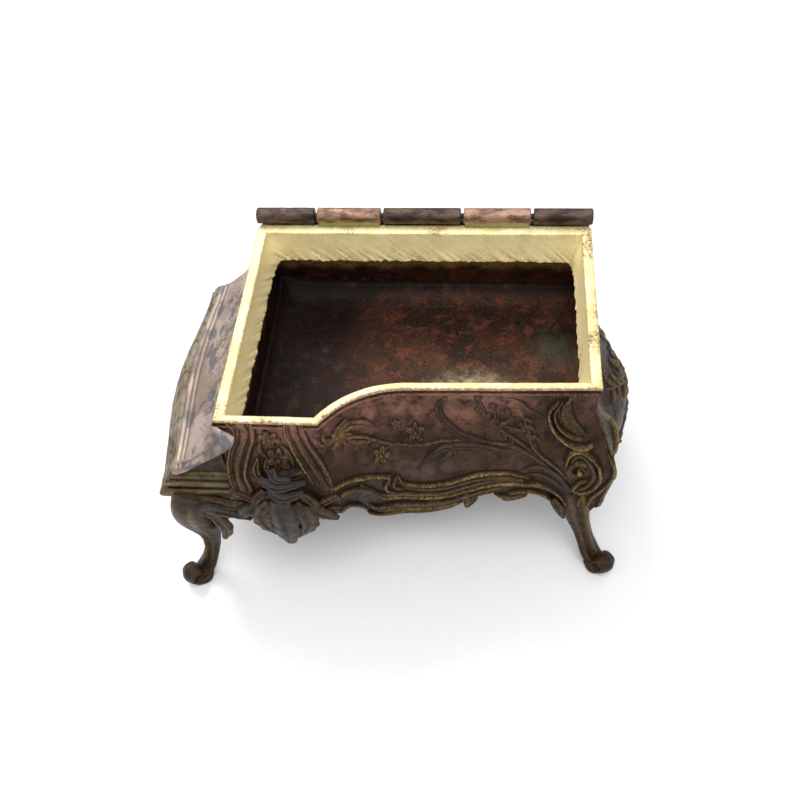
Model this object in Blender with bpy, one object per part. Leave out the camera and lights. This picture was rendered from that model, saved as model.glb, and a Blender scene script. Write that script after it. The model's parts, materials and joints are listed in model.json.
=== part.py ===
"""A small cast-metal trinket box shaped like a grand piano, with its lid swung open behind it.

Sizes are in millimetres with the table at height 0 and the rim's back left corner at x = 0, y = 0.
Blender units are metres: every mesh is scaled once, when it is made.
"""
import math

import bmesh
import bpy
from mathutils import Vector

MM = 0.001

# Driving dimensions of the case, in millimetres.
RIM_LENGTH = 92.0           # along the hinge
RIM_HEIGHT = 72.0           # rim top above the table
TAIL_DEPTH = 54.5           # rim depth at the right end
STEP_X = 46.0               # where the long front ends and the concave step begins
CHEEK_DEPTH = 66.6          # rim depth at the keyboard end
STEP_CENTRE_Y = -77.5       # centre of the concave step's ellipse
STEP_A = 24.0               # and its half axes, at the rim
STEP_B = 21.8
STEP_A_LOSS = 3.2           # how much the half axes shrink at the belly
STEP_B_LOSS = 0.8
STEP_CENTRE_OUT = 5.4       # how far the ellipse's centre moves out at the belly
BELLY_OUT = 5.8             # how far the belly stands out from the rim
BACK_BELLY_OUT = 5.6
TAIL_BELLY_BACK = 2.0       # how far the tail's belly stands out at the back corner
TAIL_BELLY_FRONT = 5.6      # and at the front corner
TAIL_BOW = 7.6              # extra bow between them
GAP = 0.3                   # clearance between neighbouring pieces

FLANGE_THICKNESS = 1.2
COLLAR_DEPTH = 10.1
FLOOR_TOP = 42.0
FLOOR_THICKNESS = 1.3
WALL_THICKNESS = 1.7

KEYBED_OUT = 20.3           # how far the key-bed reaches left of the rim
KEYBED_SERPENTINE = 3.3     # extra reach at the middle of the key-bed
KEYBED_NEAR = -70.5
KEYBED_FAR = 1.2
COVER_NEAR = -68.2
COVER_FAR = -4.8
CHEEK_PLATE = 1.5           # thickness of the plates that close the cover's ends

HINGE_Y = 2.3
HINGE_HEIGHT = 73.9
KNUCKLE_RADIUS = 2.25
BORE_RADIUS = 0.88
PIN_RADIUS = 0.8
LID_OPEN_DEGREES = 256.0
LID_THICKNESS = 2.0
LID_BACK_INSET = 0.6        # the lid's back edge stays clear of the case knuckles

# How many straight pieces each run of the plan outline is cut into.
BACK_STEPS, TAIL_STEPS, FRONT_STEPS, STEP_STEPS, CHEEK_STEPS, LEFT_STEPS = 8, 9, 12, 9, 5, 4

# Belly profile: height above the table, and the share of the full belly.
PROFILE = ((72, 0), (66, 0), (62, 0.05), (57, 0.36), (50, 0.84), (44, 1), (36, 0.9), (28, 0.76), (18, 0.66))
# Bottom edge of the front, x and height, from the cheek corner to the front right leg.
APRON = ((28, 37.4), (31, 32.5), (34, 25.5), (41, 20.7), (50, 21.4), (56, 23.4), (62, 27),
         (68, 30.6), (74, 34.2), (81, 33.6), (86, 31.8), (104, 31.8))
CHEEK_EDGE = 37.6
TAIL_EDGE = ((0, 31.8), (0.2, 34.2), (0.5, 28), (0.8, 34.2), (1, 31.8))
BACK_EDGE = ((0, 37.6), (0.15, 37), (0.5, 27), (0.85, 34.2), (1, 31.8))


def clear_scene():
    for old in list(bpy.data.objects):
        bpy.data.objects.remove(old, do_unlink=True)


def metal(name, colour, roughness):
    material = bpy.data.materials.new(name)
    material.use_nodes = True
    shader = material.node_tree.nodes["Principled BSDF"]
    shader.inputs["Base Color"].default_value = (*colour, 1)
    shader.inputs["Roughness"].default_value = roughness
    shader.inputs["Metallic"].default_value = 0.85
    return material


def empty(name, location=(0, 0, 0), parent=None):
    guide = bpy.data.objects.new(name, None)
    bpy.context.collection.objects.link(guide)
    guide.location = [value * MM for value in location]
    guide.parent = parent
    return guide


def smooth_lookup(points, x):
    """The value at x of a soft curve through the given points."""
    if x <= points[0][0]:
        return points[0][1]
    for (x0, y0), (x1, y1) in zip(points, points[1:]):
        if x <= x1:
            share = (x - x0) / (x1 - x0)
            return y0 + (y1 - y0) * share * share * (3 - 2 * share)
    return points[-1][1]


def belly_share(height):
    return smooth_lookup(PROFILE[::-1], height)


def plan(bulge, inset):
    """The case's outline at one level, clockwise from the back left corner.

    bulge is 0 at the rim and 1 at the belly; inset is (front, right, back, left).
    """
    front, right, back, left = inset
    back_y = BACK_BELLY_OUT * bulge - back
    tail_x = RIM_LENGTH + TAIL_BELLY_BACK * bulge - right
    corner_right = RIM_LENGTH + TAIL_BELLY_FRONT * bulge - right
    front_y = -TAIL_DEPTH - BELLY_OUT * bulge + front
    centre_y = STEP_CENTRE_Y - STEP_CENTRE_OUT * bulge
    half_a = STEP_A - STEP_A_LOSS * bulge + front
    half_b = STEP_B - STEP_B_LOSS * bulge + front
    cheek_y = -CHEEK_DEPTH - BELLY_OUT * bulge + front
    end_angle = math.asin(max(-1.0, min(1.0, (cheek_y - centre_y) / half_b)))
    corner_x = STEP_X - half_a * math.cos(end_angle)
    step_y = centre_y + half_b
    points = []
    for i in range(BACK_STEPS):
        points.append((left + (tail_x - left) * i / BACK_STEPS, back_y))
    for i in range(TAIL_STEPS):
        share = i / TAIL_STEPS
        bow = TAIL_BOW * bulge * math.sin(math.pi * share ** 1.25) ** 2
        x = tail_x + (corner_right - tail_x) * share + bow
        points.append((x, back_y + (front_y - back_y) * share))
    for i in range(FRONT_STEPS):
        share = i / FRONT_STEPS
        points.append((corner_right + (STEP_X - corner_right) * share, front_y + (step_y - front_y) * share))
    for i in range(STEP_STEPS):
        angle = math.pi / 2 + (end_angle - math.pi / 2) * i / STEP_STEPS
        points.append((STEP_X - half_a * math.cos(angle), centre_y + half_b * math.sin(angle)))
    for i in range(CHEEK_STEPS):
        points.append((corner_x + (left - corner_x) * i / CHEEK_STEPS, cheek_y))
    for i in range(LEFT_STEPS):
        points.append((left, cheek_y + (back_y - cheek_y) * i / LEFT_STEPS))
    return points


def edge_heights():
    """The case's bottom edge, one height for each point of the plan outline."""
    belly = plan(0.75, (0, 0, 0, 0))
    heights = [smooth_lookup(BACK_EDGE, i / BACK_STEPS) for i in range(BACK_STEPS)]
    heights += [smooth_lookup(TAIL_EDGE, i / TAIL_STEPS) for i in range(TAIL_STEPS)]
    first = BACK_STEPS + TAIL_STEPS
    last = first + FRONT_STEPS + STEP_STEPS
    heights += [smooth_lookup(APRON, x) for x, _ in belly[first:last]]
    heights += [CHEEK_EDGE] * (CHEEK_STEPS + LEFT_STEPS)
    return heights


def make_object(name, points, faces, material, parent):
    """A closed solid from points in millimetres, placed under its parent."""
    mesh = bpy.data.meshes.new(name)
    mesh.from_pydata([Vector(p) * MM for p in points], [], faces)
    work = bmesh.new()
    work.from_mesh(mesh)
    bmesh.ops.recalc_face_normals(work, faces=work.faces)
    work.to_mesh(mesh)
    work.free()
    mesh.materials.append(material)
    mesh.shade_smooth()
    mesh.set_sharp_from_angle(angle=math.radians(40))
    solid = bpy.data.objects.new(name, mesh)
    bpy.context.collection.objects.link(solid)
    solid.parent = parent
    return solid


def loop_faces(rows, count, closed):
    """Quads between neighbouring loops of points; closed joins the last loop to the first."""
    faces = []
    for r in range(rows if closed else rows - 1):
        for i in range(count):
            j = (i + 1) % count
            below = (r + 1) % rows
            faces.append((r * count + i, r * count + j, below * count + j, below * count + i))
    return faces


def ring_solid(name, loops, material, parent):
    """A ring-shaped solid whose cross-section is walked by the loops."""
    count = len(loops[0])
    points = [p for loop in loops for p in loop]
    return make_object(name, points, loop_faces(len(loops), count, True), material, parent)


def stack_solid(name, loops, material, parent):
    """A solid built up from loops, with the first and the last loop capped."""
    count = len(loops[0])
    points = [p for loop in loops for p in loop]
    faces = loop_faces(len(loops), count, False)
    faces.append(tuple(range(count)))
    faces.append(tuple(range(len(points) - count, len(points))))
    return make_object(name, points, faces, material, parent)


def level(bulge, inset, height):
    return [(x, y, height) for x, y in plan(bulge, inset)]


def case_shell(parent, material):
    """Bombe wall with a thin upper part behind the collar and a serpentine bottom edge."""
    top = RIM_HEIGHT - FLANGE_THICKNESS - GAP
    bottoms = edge_heights()
    outer_rows, inner_rows = 13, 11
    under_flange = (0.2, 0.2, 0.2, 0.2)
    liner_side = (1.0, 1.3, 1.3, 1.3)

    def wall_row(share, inset_at):
        row = []
        for i, bottom in enumerate(bottoms):
            height = top + (bottom - top) * share
            x, y = plan(belly_share(height), inset_at(height))[i]
            row.append((x, y, height))
        return row

    def inner_inset(height):
        blend = smooth_lookup(((56, 1), (RIM_HEIGHT - COLLAR_DEPTH, 0)), height)
        return tuple(thin + (WALL_THICKNESS - thin) * blend for thin in liner_side)

    loops = [wall_row(i / outer_rows, lambda height: under_flange) for i in range(outer_rows + 1)]
    loops += [wall_row(1 - i / inner_rows, inner_inset) for i in range(inner_rows + 1)]
    return ring_solid("case_shell", loops, material, parent)


def rim_collar(parent, material):
    """Rim flange on top of the wall, with a straight liner that hangs inside it."""
    flange_under = RIM_HEIGHT - FLANGE_THICKNESS
    liner_end = RIM_HEIGHT - COLLAR_DEPTH
    flange = (0, 0, 0, 0)
    liner_out = (1.3, 1.6, 1.6, 1.6)
    liner_in = (1.8, 2.7, 2.7, 2.7)
    loops = [
        level(0, flange, RIM_HEIGHT),
        level(0, flange, flange_under),
        level(0, liner_out, flange_under),
        level(0, liner_out, liner_end),
        level(0, liner_in, liner_end),
        level(0, liner_in, RIM_HEIGHT),
    ]
    return ring_solid("rim_collar", loops, material, parent)


def floor_plate(parent, material):
    inset = [WALL_THICKNESS + GAP + 0.1] * 4
    bottom = FLOOR_TOP - FLOOR_THICKNESS
    low = level(belly_share(bottom), inset, bottom)
    high = level(belly_share(bottom), inset, FLOOR_TOP)
    return stack_solid("floor_plate", [low, high], material, parent)


def serpentine(y):
    """Extra reach of the keyboard end: none at its two ends, most a little behind its middle."""
    share = (y - KEYBED_NEAR) / (KEYBED_FAR - KEYBED_NEAR)
    return KEYBED_SERPENTINE * math.sin(math.pi * min(1, max(0, share))) ** 2


def keyboard_cover(parent, material):
    """Concave panel: its outer side sweeps from the rim out to the key-bed."""
    outer = ((-0.4, 70.3), (-1.2, 66.5), (-2.8, 62.5), (-5.6, 58.8), (-9.0, 55.7), (-11.8, 53.4),
             (-14.2, 52.2))
    inner = ((-14.0, 51.0), (-11.1, 52.1), (-8.1, 54.4), (-4.6, 57.7), (-1.6, 61.5), (-0.4, 64.0))
    steps = 12
    loops = []
    for i in range(steps + 1):
        y = COVER_NEAR + (COVER_FAR - COVER_NEAR) * i / steps
        reach = 1 + serpentine(y) / KEYBED_OUT
        loops.append([(x * reach if x < -0.4 else x, y, height) for x, height in outer + inner])
    return stack_solid("keyboard_cover", loops, material, parent)


def end_cheek(name, y_low, parent, material):
    """Flat plate that closes one end of the space under the keyboard cover."""
    side = ((-0.4, 50.8), (-0.4, 63.2), (-1.6, 60.7), (-4.6, 56.9), (-8.1, 53.6), (-11.1, 51.4),
            (-12.4, 50.8))
    loops = [[(x, y, height) for x, height in side] for y in (y_low, y_low + CHEEK_PLATE)]
    return stack_solid(name, loops, material, parent)


def keybed(parent, material):
    """Slab with three rolls round its free sides and a serpentine outer edge."""
    profile = ((1.0, 40.8), (0.1, 41.8), (0, 43.3), (0.8, 44.8), (2.1, 45.7), (2.1, 46.6), (2.7, 47.6),
               (3.9, 48.3), (4.0, 49.3), (4.6, 50.3), (6.0, 50.5))
    near_share, far_share, steps = 0.38, 0.85, 12
    loops = []
    for inset, height in profile:
        near = KEYBED_NEAR + inset * near_share
        far = KEYBED_FAR - inset * far_share
        loop = [(-0.4, far, height), (-0.4, near, height)]
        for i in range(steps + 1):
            y = near + (far - near) * i / steps
            loop.append((-KEYBED_OUT - serpentine(y) + inset, y, height))
        loops.append(loop)
    return stack_solid("keybed", loops, material, parent)


def cheek_mount(parent, material):
    """Shell-shaped mount on the cheek; its pendant hangs below the cheek's edge."""
    centre_x = 13.0
    half_widths = ((51, 2.0), (48, 5.0), (44.5, 8.0), (40.5, 9.0), (37, 7.2), (34, 5.6), (31, 4.2),
                   (28.5, 2.6), (27, 0.9))
    right = [(centre_x + width, height) for height, width in half_widths]
    left = [(centre_x - width, height) for height, width in reversed(half_widths)]
    outline = right + left
    middle = 40.0
    loops = []
    for y, scale in ((-72.75, 1.0), (-73.5, 1.0), (-74.4, 0.8)):
        loop = [(centre_x + (x - centre_x) * scale, y, middle + (h - middle) * scale) for x, h in outline]
        loops.append(loop)
    return stack_solid("cheek_mount", loops, material, parent)


def cabriole_leg(name, base, direction, stations, parent, material):
    """Leg built up from rounded sections; stations are height, outward shift, half width."""
    sides = 12
    angle_out = math.atan2(direction[1], direction[0])
    loops = []
    for height, shift, half in stations:
        centre_x = base[0] + direction[0] * shift
        centre_y = base[1] + direction[1] * shift
        loop = []
        for i in range(sides):
            angle = angle_out + 2 * math.pi * i / sides
            loop.append((centre_x + half * math.cos(angle), centre_y + half * math.sin(angle), height))
        loops.append(loop)
    return stack_solid(name, loops, material, parent)


def legs(parent, material):
    """Four legs: the keyboard end's are taller because they stand under the key-bed."""
    foot = ((0, 4.1), (1.2, 4.5), (3.2, 4.0), (5.4, 2.9))
    left_stations = [(h, 8.6 - 0.45 * h, half) for h, half in foot]
    left_stations += [(9, 2.9, 2.4), (14, 0.8, 2.5), (20, 0, 3.1), (26, 0.4, 4.1), (31, 1.0, 5.0),
                      (36, 1.2, 5.6), (40.5, 0, 5.6)]
    right_stations = [(h, 10.8 - 0.45 * h, half) for h, half in foot]
    right_stations += [(9, 5.4, 2.5), (14, 2.8, 2.8), (20, 1.0, 3.4), (26, 0.2, 4.4), (31.4, 0, 5.6)]
    diagonal = math.sqrt(0.5)
    tail_out = (0.72, 0.69)
    left_base = (-12.8, 0.7)
    right_base = (90.1, 2.4)
    left_front = (left_base[0], -CHEEK_DEPTH - left_base[1])
    right_front = (right_base[0], -TAIL_DEPTH - right_base[1])
    spots = (
        ("leg_front_left", left_front, (-diagonal, -diagonal), left_stations),
        ("leg_back_left", left_base, (-diagonal, diagonal), left_stations),
        ("leg_front_right", right_front, (tail_out[0], -tail_out[1]), right_stations),
        ("leg_back_right", right_base, tail_out, right_stations),
    )
    for name, base, direction, stations in spots:
        cabriole_leg(name, base, direction, stations, parent, material)


def tab_radius(angle, tab):
    """Distance from the pin's centre to the outside of a knuckle that carries a tab."""
    y_far, z_low, z_high = tab["far"], tab["low"], tab["high"]
    along_y, along_z = math.cos(angle), math.sin(angle)
    reach = KNUCKLE_RADIUS
    if along_y < -1e-6:
        side = y_far / along_y
        if z_low - 1e-6 <= side * along_z <= z_high + 1e-6:
            reach = max(reach, side)
    if along_z < -1e-6:
        under = z_low / along_z
        if y_far - 1e-6 <= under * along_y <= tab["near"] + 1e-6:
            reach = max(reach, under)
    return reach


def knuckle(name, x_from, x_to, tab, centre, parent, material):
    """Hinge tube along X with a bore for the pin and a tab to what it is fixed to."""
    sides = 24
    angles = [2 * math.pi * i / sides for i in range(sides)]
    tab_corners = ((tab["far"], tab["low"]), (tab["far"], tab["high"]), (tab["near"], tab["low"]))
    for corner_y, corner_z in tab_corners:
        angles.append(math.atan2(corner_z, corner_y) % (2 * math.pi))
    angles.sort()
    outer = [(tab_radius(a, tab) * math.cos(a), tab_radius(a, tab) * math.sin(a)) for a in angles]
    bore = [(BORE_RADIUS * math.cos(a), BORE_RADIUS * math.sin(a)) for a in angles]
    loops = []
    for x, section in ((x_from, outer), (x_to, outer), (x_to, bore), (x_from, bore)):
        loops.append([(x, centre[0] + y, centre[1] + z) for y, z in section])
    return ring_solid(name, loops, material, parent)


def hinge(case, lid, case_metal, lid_metal, pin_metal):
    """Five knuckles on one pin: the first, third and fifth carry the lid."""
    case_tab = {"far": -2.0, "near": -0.7, "low": -3.5, "high": 0.0}
    lid_tab = {"far": -2.6, "near": 0.0, "low": -1.5, "high": 0.2}
    on_case = (HINGE_Y, HINGE_HEIGHT)
    knuckle("hinge_knuckle_lid_left", -0.3, 16.0, lid_tab, (0, 0), lid, lid_metal)
    knuckle("hinge_knuckle_case_left", 16.8, 34.5, case_tab, on_case, case, case_metal)
    knuckle("hinge_knuckle_lid_centre", 35.3, 56.6, lid_tab, (0, 0), lid, lid_metal)
    knuckle("hinge_knuckle_case_right", 57.4, 75.6, case_tab, on_case, case, case_metal)
    knuckle("hinge_knuckle_lid_right", 76.4, 92.3, lid_tab, (0, 0), lid, lid_metal)
    loops = []
    for x in (0.0, 92.0):
        loop = []
        for i in range(24):
            angle = 2 * math.pi * i / 24
            y = HINGE_Y + PIN_RADIUS * math.cos(angle)
            loop.append((x, y, HINGE_HEIGHT + PIN_RADIUS * math.sin(angle)))
        loops.append(loop)
    stack_solid("hinge_pin", loops, pin_metal, case)


def lid_plate(lid, material):
    """Lid in its closed place, measured from the hinge axis so that it turns about it."""
    under = RIM_HEIGHT + GAP
    top = under + LID_THICKNESS
    rows = ((0.4, under), (0.0, under + 0.4), (0.0, top - 0.9), (0.9, top), (3.2, top), (3.8, top - 0.5))
    loops = []
    for inset, height in rows:
        outline = plan(0, (inset, inset, LID_BACK_INSET + inset, inset))
        loops.append([(x, y - HINGE_Y, height - HINGE_HEIGHT) for x, y in outline])
    return stack_solid("lid_plate", loops, material, lid)


def centre_on_table(root):
    """Moves the model so that its origin is the middle of its footprint, on the table."""
    bpy.context.view_layer.update()
    corners = []
    for solid in bpy.context.scene.objects:
        if solid.type == "MESH":
            corners += [solid.matrix_world @ vertex.co for vertex in solid.data.vertices]
    for axis in (0, 1):
        values = [corner[axis] for corner in corners]
        root.location[axis] = -(min(values) + max(values)) / 2


def build():
    clear_scene()
    root = empty("trinket_box")
    case = empty("case", parent=root)
    lid = empty("lid", location=(0, HINGE_Y, HINGE_HEIGHT), parent=root)
    lid.rotation_euler[0] = math.radians(-LID_OPEN_DEGREES)
    copper = metal("patinated_copper", (0.20, 0.10, 0.08), 0.5)
    bronze = metal("dark_bronze", (0.11, 0.08, 0.04), 0.5)
    gilt = metal("pale_gilt", (0.80, 0.68, 0.38), 0.35)
    rose = metal("rose_copper", (0.45, 0.27, 0.22), 0.45)
    grey = metal("grey_copper", (0.33, 0.27, 0.26), 0.5)
    steel = metal("dark_steel", (0.10, 0.09, 0.08), 0.45)
    case_shell(case, copper)
    rim_collar(case, gilt)
    floor_plate(case, bronze)
    keyboard_cover(case, grey)
    end_cheek("end_cheek_front", COVER_NEAR + GAP, case, copper)
    end_cheek("end_cheek_back", COVER_FAR - GAP - CHEEK_PLATE, case, copper)
    keybed(case, bronze)
    cheek_mount(case, grey)
    legs(case, bronze)
    hinge(case, lid, rose, bronze, steel)
    lid_plate(lid, copper)
    centre_on_table(root)


build()
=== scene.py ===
"""Looks of the piano-shaped trinket box: chased relief, worn gilding and patina round the CAD frame.

Lengths are in millimetres in the box's own frame: x runs along the hinge from the rim's back left
corner, y is 0 at the rim's back face and negative towards the front, h is the height over the table.
"""
import json
import math

import bmesh
import bpy
import numpy as np
from mathutils import Matrix, Vector


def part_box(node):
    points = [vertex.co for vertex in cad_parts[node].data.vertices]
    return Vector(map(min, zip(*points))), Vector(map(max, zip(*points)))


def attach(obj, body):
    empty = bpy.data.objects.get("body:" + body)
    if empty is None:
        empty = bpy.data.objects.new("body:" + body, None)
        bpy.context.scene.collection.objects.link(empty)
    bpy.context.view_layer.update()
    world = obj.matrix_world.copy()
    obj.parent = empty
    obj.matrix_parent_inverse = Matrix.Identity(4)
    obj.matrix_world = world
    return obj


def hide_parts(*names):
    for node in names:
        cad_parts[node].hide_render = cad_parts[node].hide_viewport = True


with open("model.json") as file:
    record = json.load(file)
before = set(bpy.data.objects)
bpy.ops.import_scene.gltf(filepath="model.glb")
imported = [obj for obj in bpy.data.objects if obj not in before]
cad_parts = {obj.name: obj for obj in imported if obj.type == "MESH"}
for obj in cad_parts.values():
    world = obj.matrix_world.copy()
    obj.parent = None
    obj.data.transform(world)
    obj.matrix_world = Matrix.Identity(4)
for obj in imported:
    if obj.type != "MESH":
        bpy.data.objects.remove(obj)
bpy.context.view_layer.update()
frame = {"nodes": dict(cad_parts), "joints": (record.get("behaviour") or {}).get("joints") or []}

MM = 0.001
RIM_LOW, RIM_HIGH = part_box("rim_collar")
ORIGIN = np.array([RIM_LOW[0], RIM_HIGH[1], 0.0])
LENGTH = (RIM_HIGH[0] - RIM_LOW[0]) / MM
CHEEK = (RIM_HIGH[1] - RIM_LOW[1]) / MM
RIM_TOP = RIM_HIGH[2] / MM
TAIL = CHEEK - 12.1
STEP_X = LENGTH / 2
STEP_CENTRE = -TAIL - 23.0
STEP_ALONG, STEP_ACROSS = 24.0, 21.8
WALL = 1.7
TAIL_BOW = 8.2
LINER_DEPTH = 8.7
KNUCKLE_RADIUS, PIN_BORE = 2.22, 0.87
LEAF_LOBES = 5
MASKS = ("gold", "soot", "crest", "recess")
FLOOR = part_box("floor_plate")[1][2] / MM

HINGE = np.array(frame["joints"][0]["pos_m"]) / MM
HINGE_Y = HINGE[1] - ORIGIN[1] / MM
HINGE_H = HINGE[2]
LID_ANGLE = math.radians(-256)


# ---------------------------------------------------------------- numbers and curves

def soft(points, x):
    """Smooth curve through (x, value) points, read at x (an array)."""
    px, py = np.array(sorted(points), float).T
    slope = np.gradient(py, px)
    x = np.clip(np.asarray(x, float), px[0], px[-1])
    i = np.clip(np.searchsorted(px, x) - 1, 0, len(px) - 2)
    span = px[i + 1] - px[i]
    t = (x - px[i]) / span
    a = (1 + 2 * t) * (1 - t) ** 2 * py[i] + t * (1 - t) ** 2 * span * slope[i]
    return a + t * t * (3 - 2 * t) * py[i + 1] + t * t * (t - 1) * span * slope[i + 1]


def catmull(points, per=7):
    """Smooth polyline through the points."""
    p = np.array(points, float)
    if len(p) < 3:
        return np.linspace(p[0], p[-1], per + 1)
    p = np.vstack([2 * p[0] - p[1], p, 2 * p[-1] - p[-2]])
    t = np.linspace(0, 1, per, endpoint=False)[:, None]
    out = []
    for a, b, c, d in zip(p, p[1:], p[2:], p[3:]):
        out.append(0.5 * (2 * b + (c - a) * t + (2 * a - 5 * b + 4 * c - d) * t ** 2
                          + (3 * b - a - 3 * c + d) * t ** 3))
    return np.vstack(out + [p[-2:-1]])


def distances(points):
    """How far along a polyline each of its points lies."""
    return np.concatenate([[0], np.cumsum(np.hypot(*(points[1:] - points[:-1]).T))])


def ease(x, low, high):
    """0 below low, 1 above high, smooth between."""
    t = np.clip((np.asarray(x, float) - low) / (high - low), 0, 1)
    return t * t * (3 - 2 * t)


def grain(u, v, size, seed):
    """Smooth value noise from -1 to 1 with the given cell size."""
    lattice = np.random.default_rng(seed).uniform(-1, 1, (97, 97))
    a, b = np.asarray(u) / size, np.asarray(v) / size
    i, j = np.floor(a).astype(int), np.floor(b).astype(int)
    s, t = a - i, b - j
    s, t = s * s * (3 - 2 * s), t * t * (3 - 2 * t)

    def cell(di, dj):
        return lattice[(i + di) % 97, (j + dj) % 97]

    return (cell(0, 0) * (1 - s) * (1 - t) + cell(1, 0) * s * (1 - t)
            + cell(0, 1) * (1 - s) * t + cell(1, 1) * s * t)


def fractal(u, v, size, seed):
    """Three octaves of value noise."""
    total = 0
    for k in range(3):
        total = total + grain(u, v, size / 2 ** k, seed + k) / 2 ** k
    return total / 1.7


def turned(angle):
    """Angles brought to between minus pi and pi."""
    return np.angle(np.exp(1j * angle))


def blur(field, reach):
    """Box blur along both grid directions."""
    for axis in (0, 1):
        before, after = np.take(field, [0] * reach, axis), np.take(field, [-1] * (reach + 1), axis)
        total = np.cumsum(np.concatenate([before, field, after], axis), axis)
        start = np.arange(field.shape[axis])
        field = (np.take(total, start + 2 * reach, axis) - np.take(total, start, axis)) / (2 * reach)
    return field


# ---------------------------------------------------------------- relief

class Relief:
    """Height field over a grid with coordinates s (along) and h (up), with colour masks."""

    def __init__(self, s, h):
        self.s = s + 0.16 * fractal(s, h, 3.0, 201)
        self.h = h + 0.16 * fractal(s, h, 3.0, 205)
        self.rise = np.zeros(s.shape)
        self.gold = np.zeros(s.shape)
        self.soot = np.zeros(s.shape)

    def stroke(self, points, width, rise, shape="round", ends=(0.3, 0.3), gold=0.0, soot=0.0, per=7):
        """A raised line or leaf along a smooth curve; ends scale its width at its two tips."""
        path = catmull(points, per)
        margin = width + 0.2
        low, high = path.min(0) - margin, path.max(0) + margin
        near = (self.s > low[0]) & (self.s < high[0]) & (self.h > low[1]) & (self.h < high[1])
        if not near.any():
            return
        x, y = self.s[near], self.h[near]
        best = np.full(x.shape, 1e9)
        share = np.zeros(x.shape)
        done = distances(path)
        for (ax, ay), (bx, by), start, length in zip(path, path[1:], done, np.diff(done)):
            if length < 1e-9:
                continue
            t = np.clip(((x - ax) * (bx - ax) + (y - ay) * (by - ay)) / length ** 2, 0, 1)
            d = np.hypot(x - ax - t * (bx - ax), y - ay - t * (by - ay))
            closer = d < best
            best[closer] = d[closer]
            share[closer] = ((start + t * length) / done[-1])[closer]
        taper = np.where(share < 0.5, ends[0] + (1 - ends[0]) * np.sin(math.pi * share),
                         ends[1] + (1 - ends[1]) * np.sin(math.pi * share))
        q = best / np.maximum(width * taper, 1e-3)
        body = np.clip(1 - q * q, 0, 1)
        if shape == "round":
            lift = np.sqrt(body)
        elif shape == "leaf":
            lift = body ** 0.6 * (1 - 0.55 * np.exp(-(q / 0.2) ** 2))
        elif shape == "double":
            lift = np.sqrt(body) * (1 - 0.6 * np.exp(-(q / 0.28) ** 2))
        else:
            lift = body ** 1.5
        lift = lift * (0.55 + 0.45 * taper)
        self.rise[near] = np.maximum(self.rise[near], rise
                                     * lift) if rise > 0 else self.rise[near] + rise * lift
        top = ease(lift, 0.55, 0.9)
        self.gold[near] = np.maximum(self.gold[near], gold * top)
        self.soot[near] = np.maximum(self.soot[near], soot * ease(lift, 0.2, 0.6))

    def dot(self, centre, width, rise, gold=0.0, soot=0.0):
        """A round boss."""
        self.stroke([centre, (centre[0] + 0.01, centre[1])], width, rise, "round", (1, 1), gold, soot)

    def flower(self, centre, size, rise, gold=0.0, soot=0.0, petals=5, turn=0.3):
        for k in range(petals):
            angle = turn + 2 * math.pi * k / petals
            tip = (centre[0] + size * math.cos(angle), centre[1] + size * math.sin(angle))
            start = (centre[0] + 0.25 * size * math.cos(angle), centre[1] + 0.25 * size * math.sin(angle))
            self.stroke([start, tip], size * 0.42, rise, "leaf", (0.5, 0.75), gold, soot)
        self.dot(centre, size * 0.3, rise * 1.25, gold, soot)

    def spray(self, points, size, count, rise, gold=0.0, soot=0.0, spread=0.9):
        """Leaves set alternately along a stem."""
        path = catmull(points)
        self.stroke(points, 0.35, rise * 0.7, "round", (0.5, 0.5), gold * 0.7, soot * 0.7)
        for k in range(count):
            i = int((k + 1) / (count + 1) * (len(path) - 2))
            along = path[i + 1] - path[i]
            angle = math.atan2(along[1], along[0]) + (spread if k % 2 else -spread)
            tip = path[i] + size * np.array([math.cos(angle), math.sin(angle)])
            bend = path[i] + 0.55 * size * np.array([math.cos(angle - 0.25), math.sin(angle - 0.25)])
            self.stroke([path[i], bend, tip], size * 0.24, rise, "leaf", (0.3, 0.15), gold, soot)

    def volute(self, centre, radius, turns, start, width, rise, gold=0.0, soot=0.0, hand=1):
        """A spiral scroll that winds in to its eye."""
        points = []
        count = max(6, int(turns * 9))
        for k in range(count + 1):
            share = k / count
            angle = start + hand * 2 * math.pi * turns * share
            reach = radius * (1 - 0.82 * share)
            points.append((centre[0] + reach * math.cos(angle), centre[1] + reach * math.sin(angle)))
        self.stroke(points, width, rise, "double", (0.8, 0.5), gold, soot, per=3)
        self.dot(centre, radius * 0.3, rise * 1.2, gold, soot)

    def masks(self, reach=3):
        """Relief and masks for the mesh: crests stand over their surroundings, recesses lie under them."""
        step = self.rise - blur(self.rise, reach)
        crest = np.clip(step / 0.16, 0, 1)
        recess = np.clip(-step / 0.14, 0, 1)
        return {"gold": self.gold, "soot": self.soot, "crest": crest, "recess": recess}


# ---------------------------------------------------------------- meshes

def place(points):
    """Box millimetres to world metres."""
    return np.asarray(points, float) * MM + ORIGIN


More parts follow.
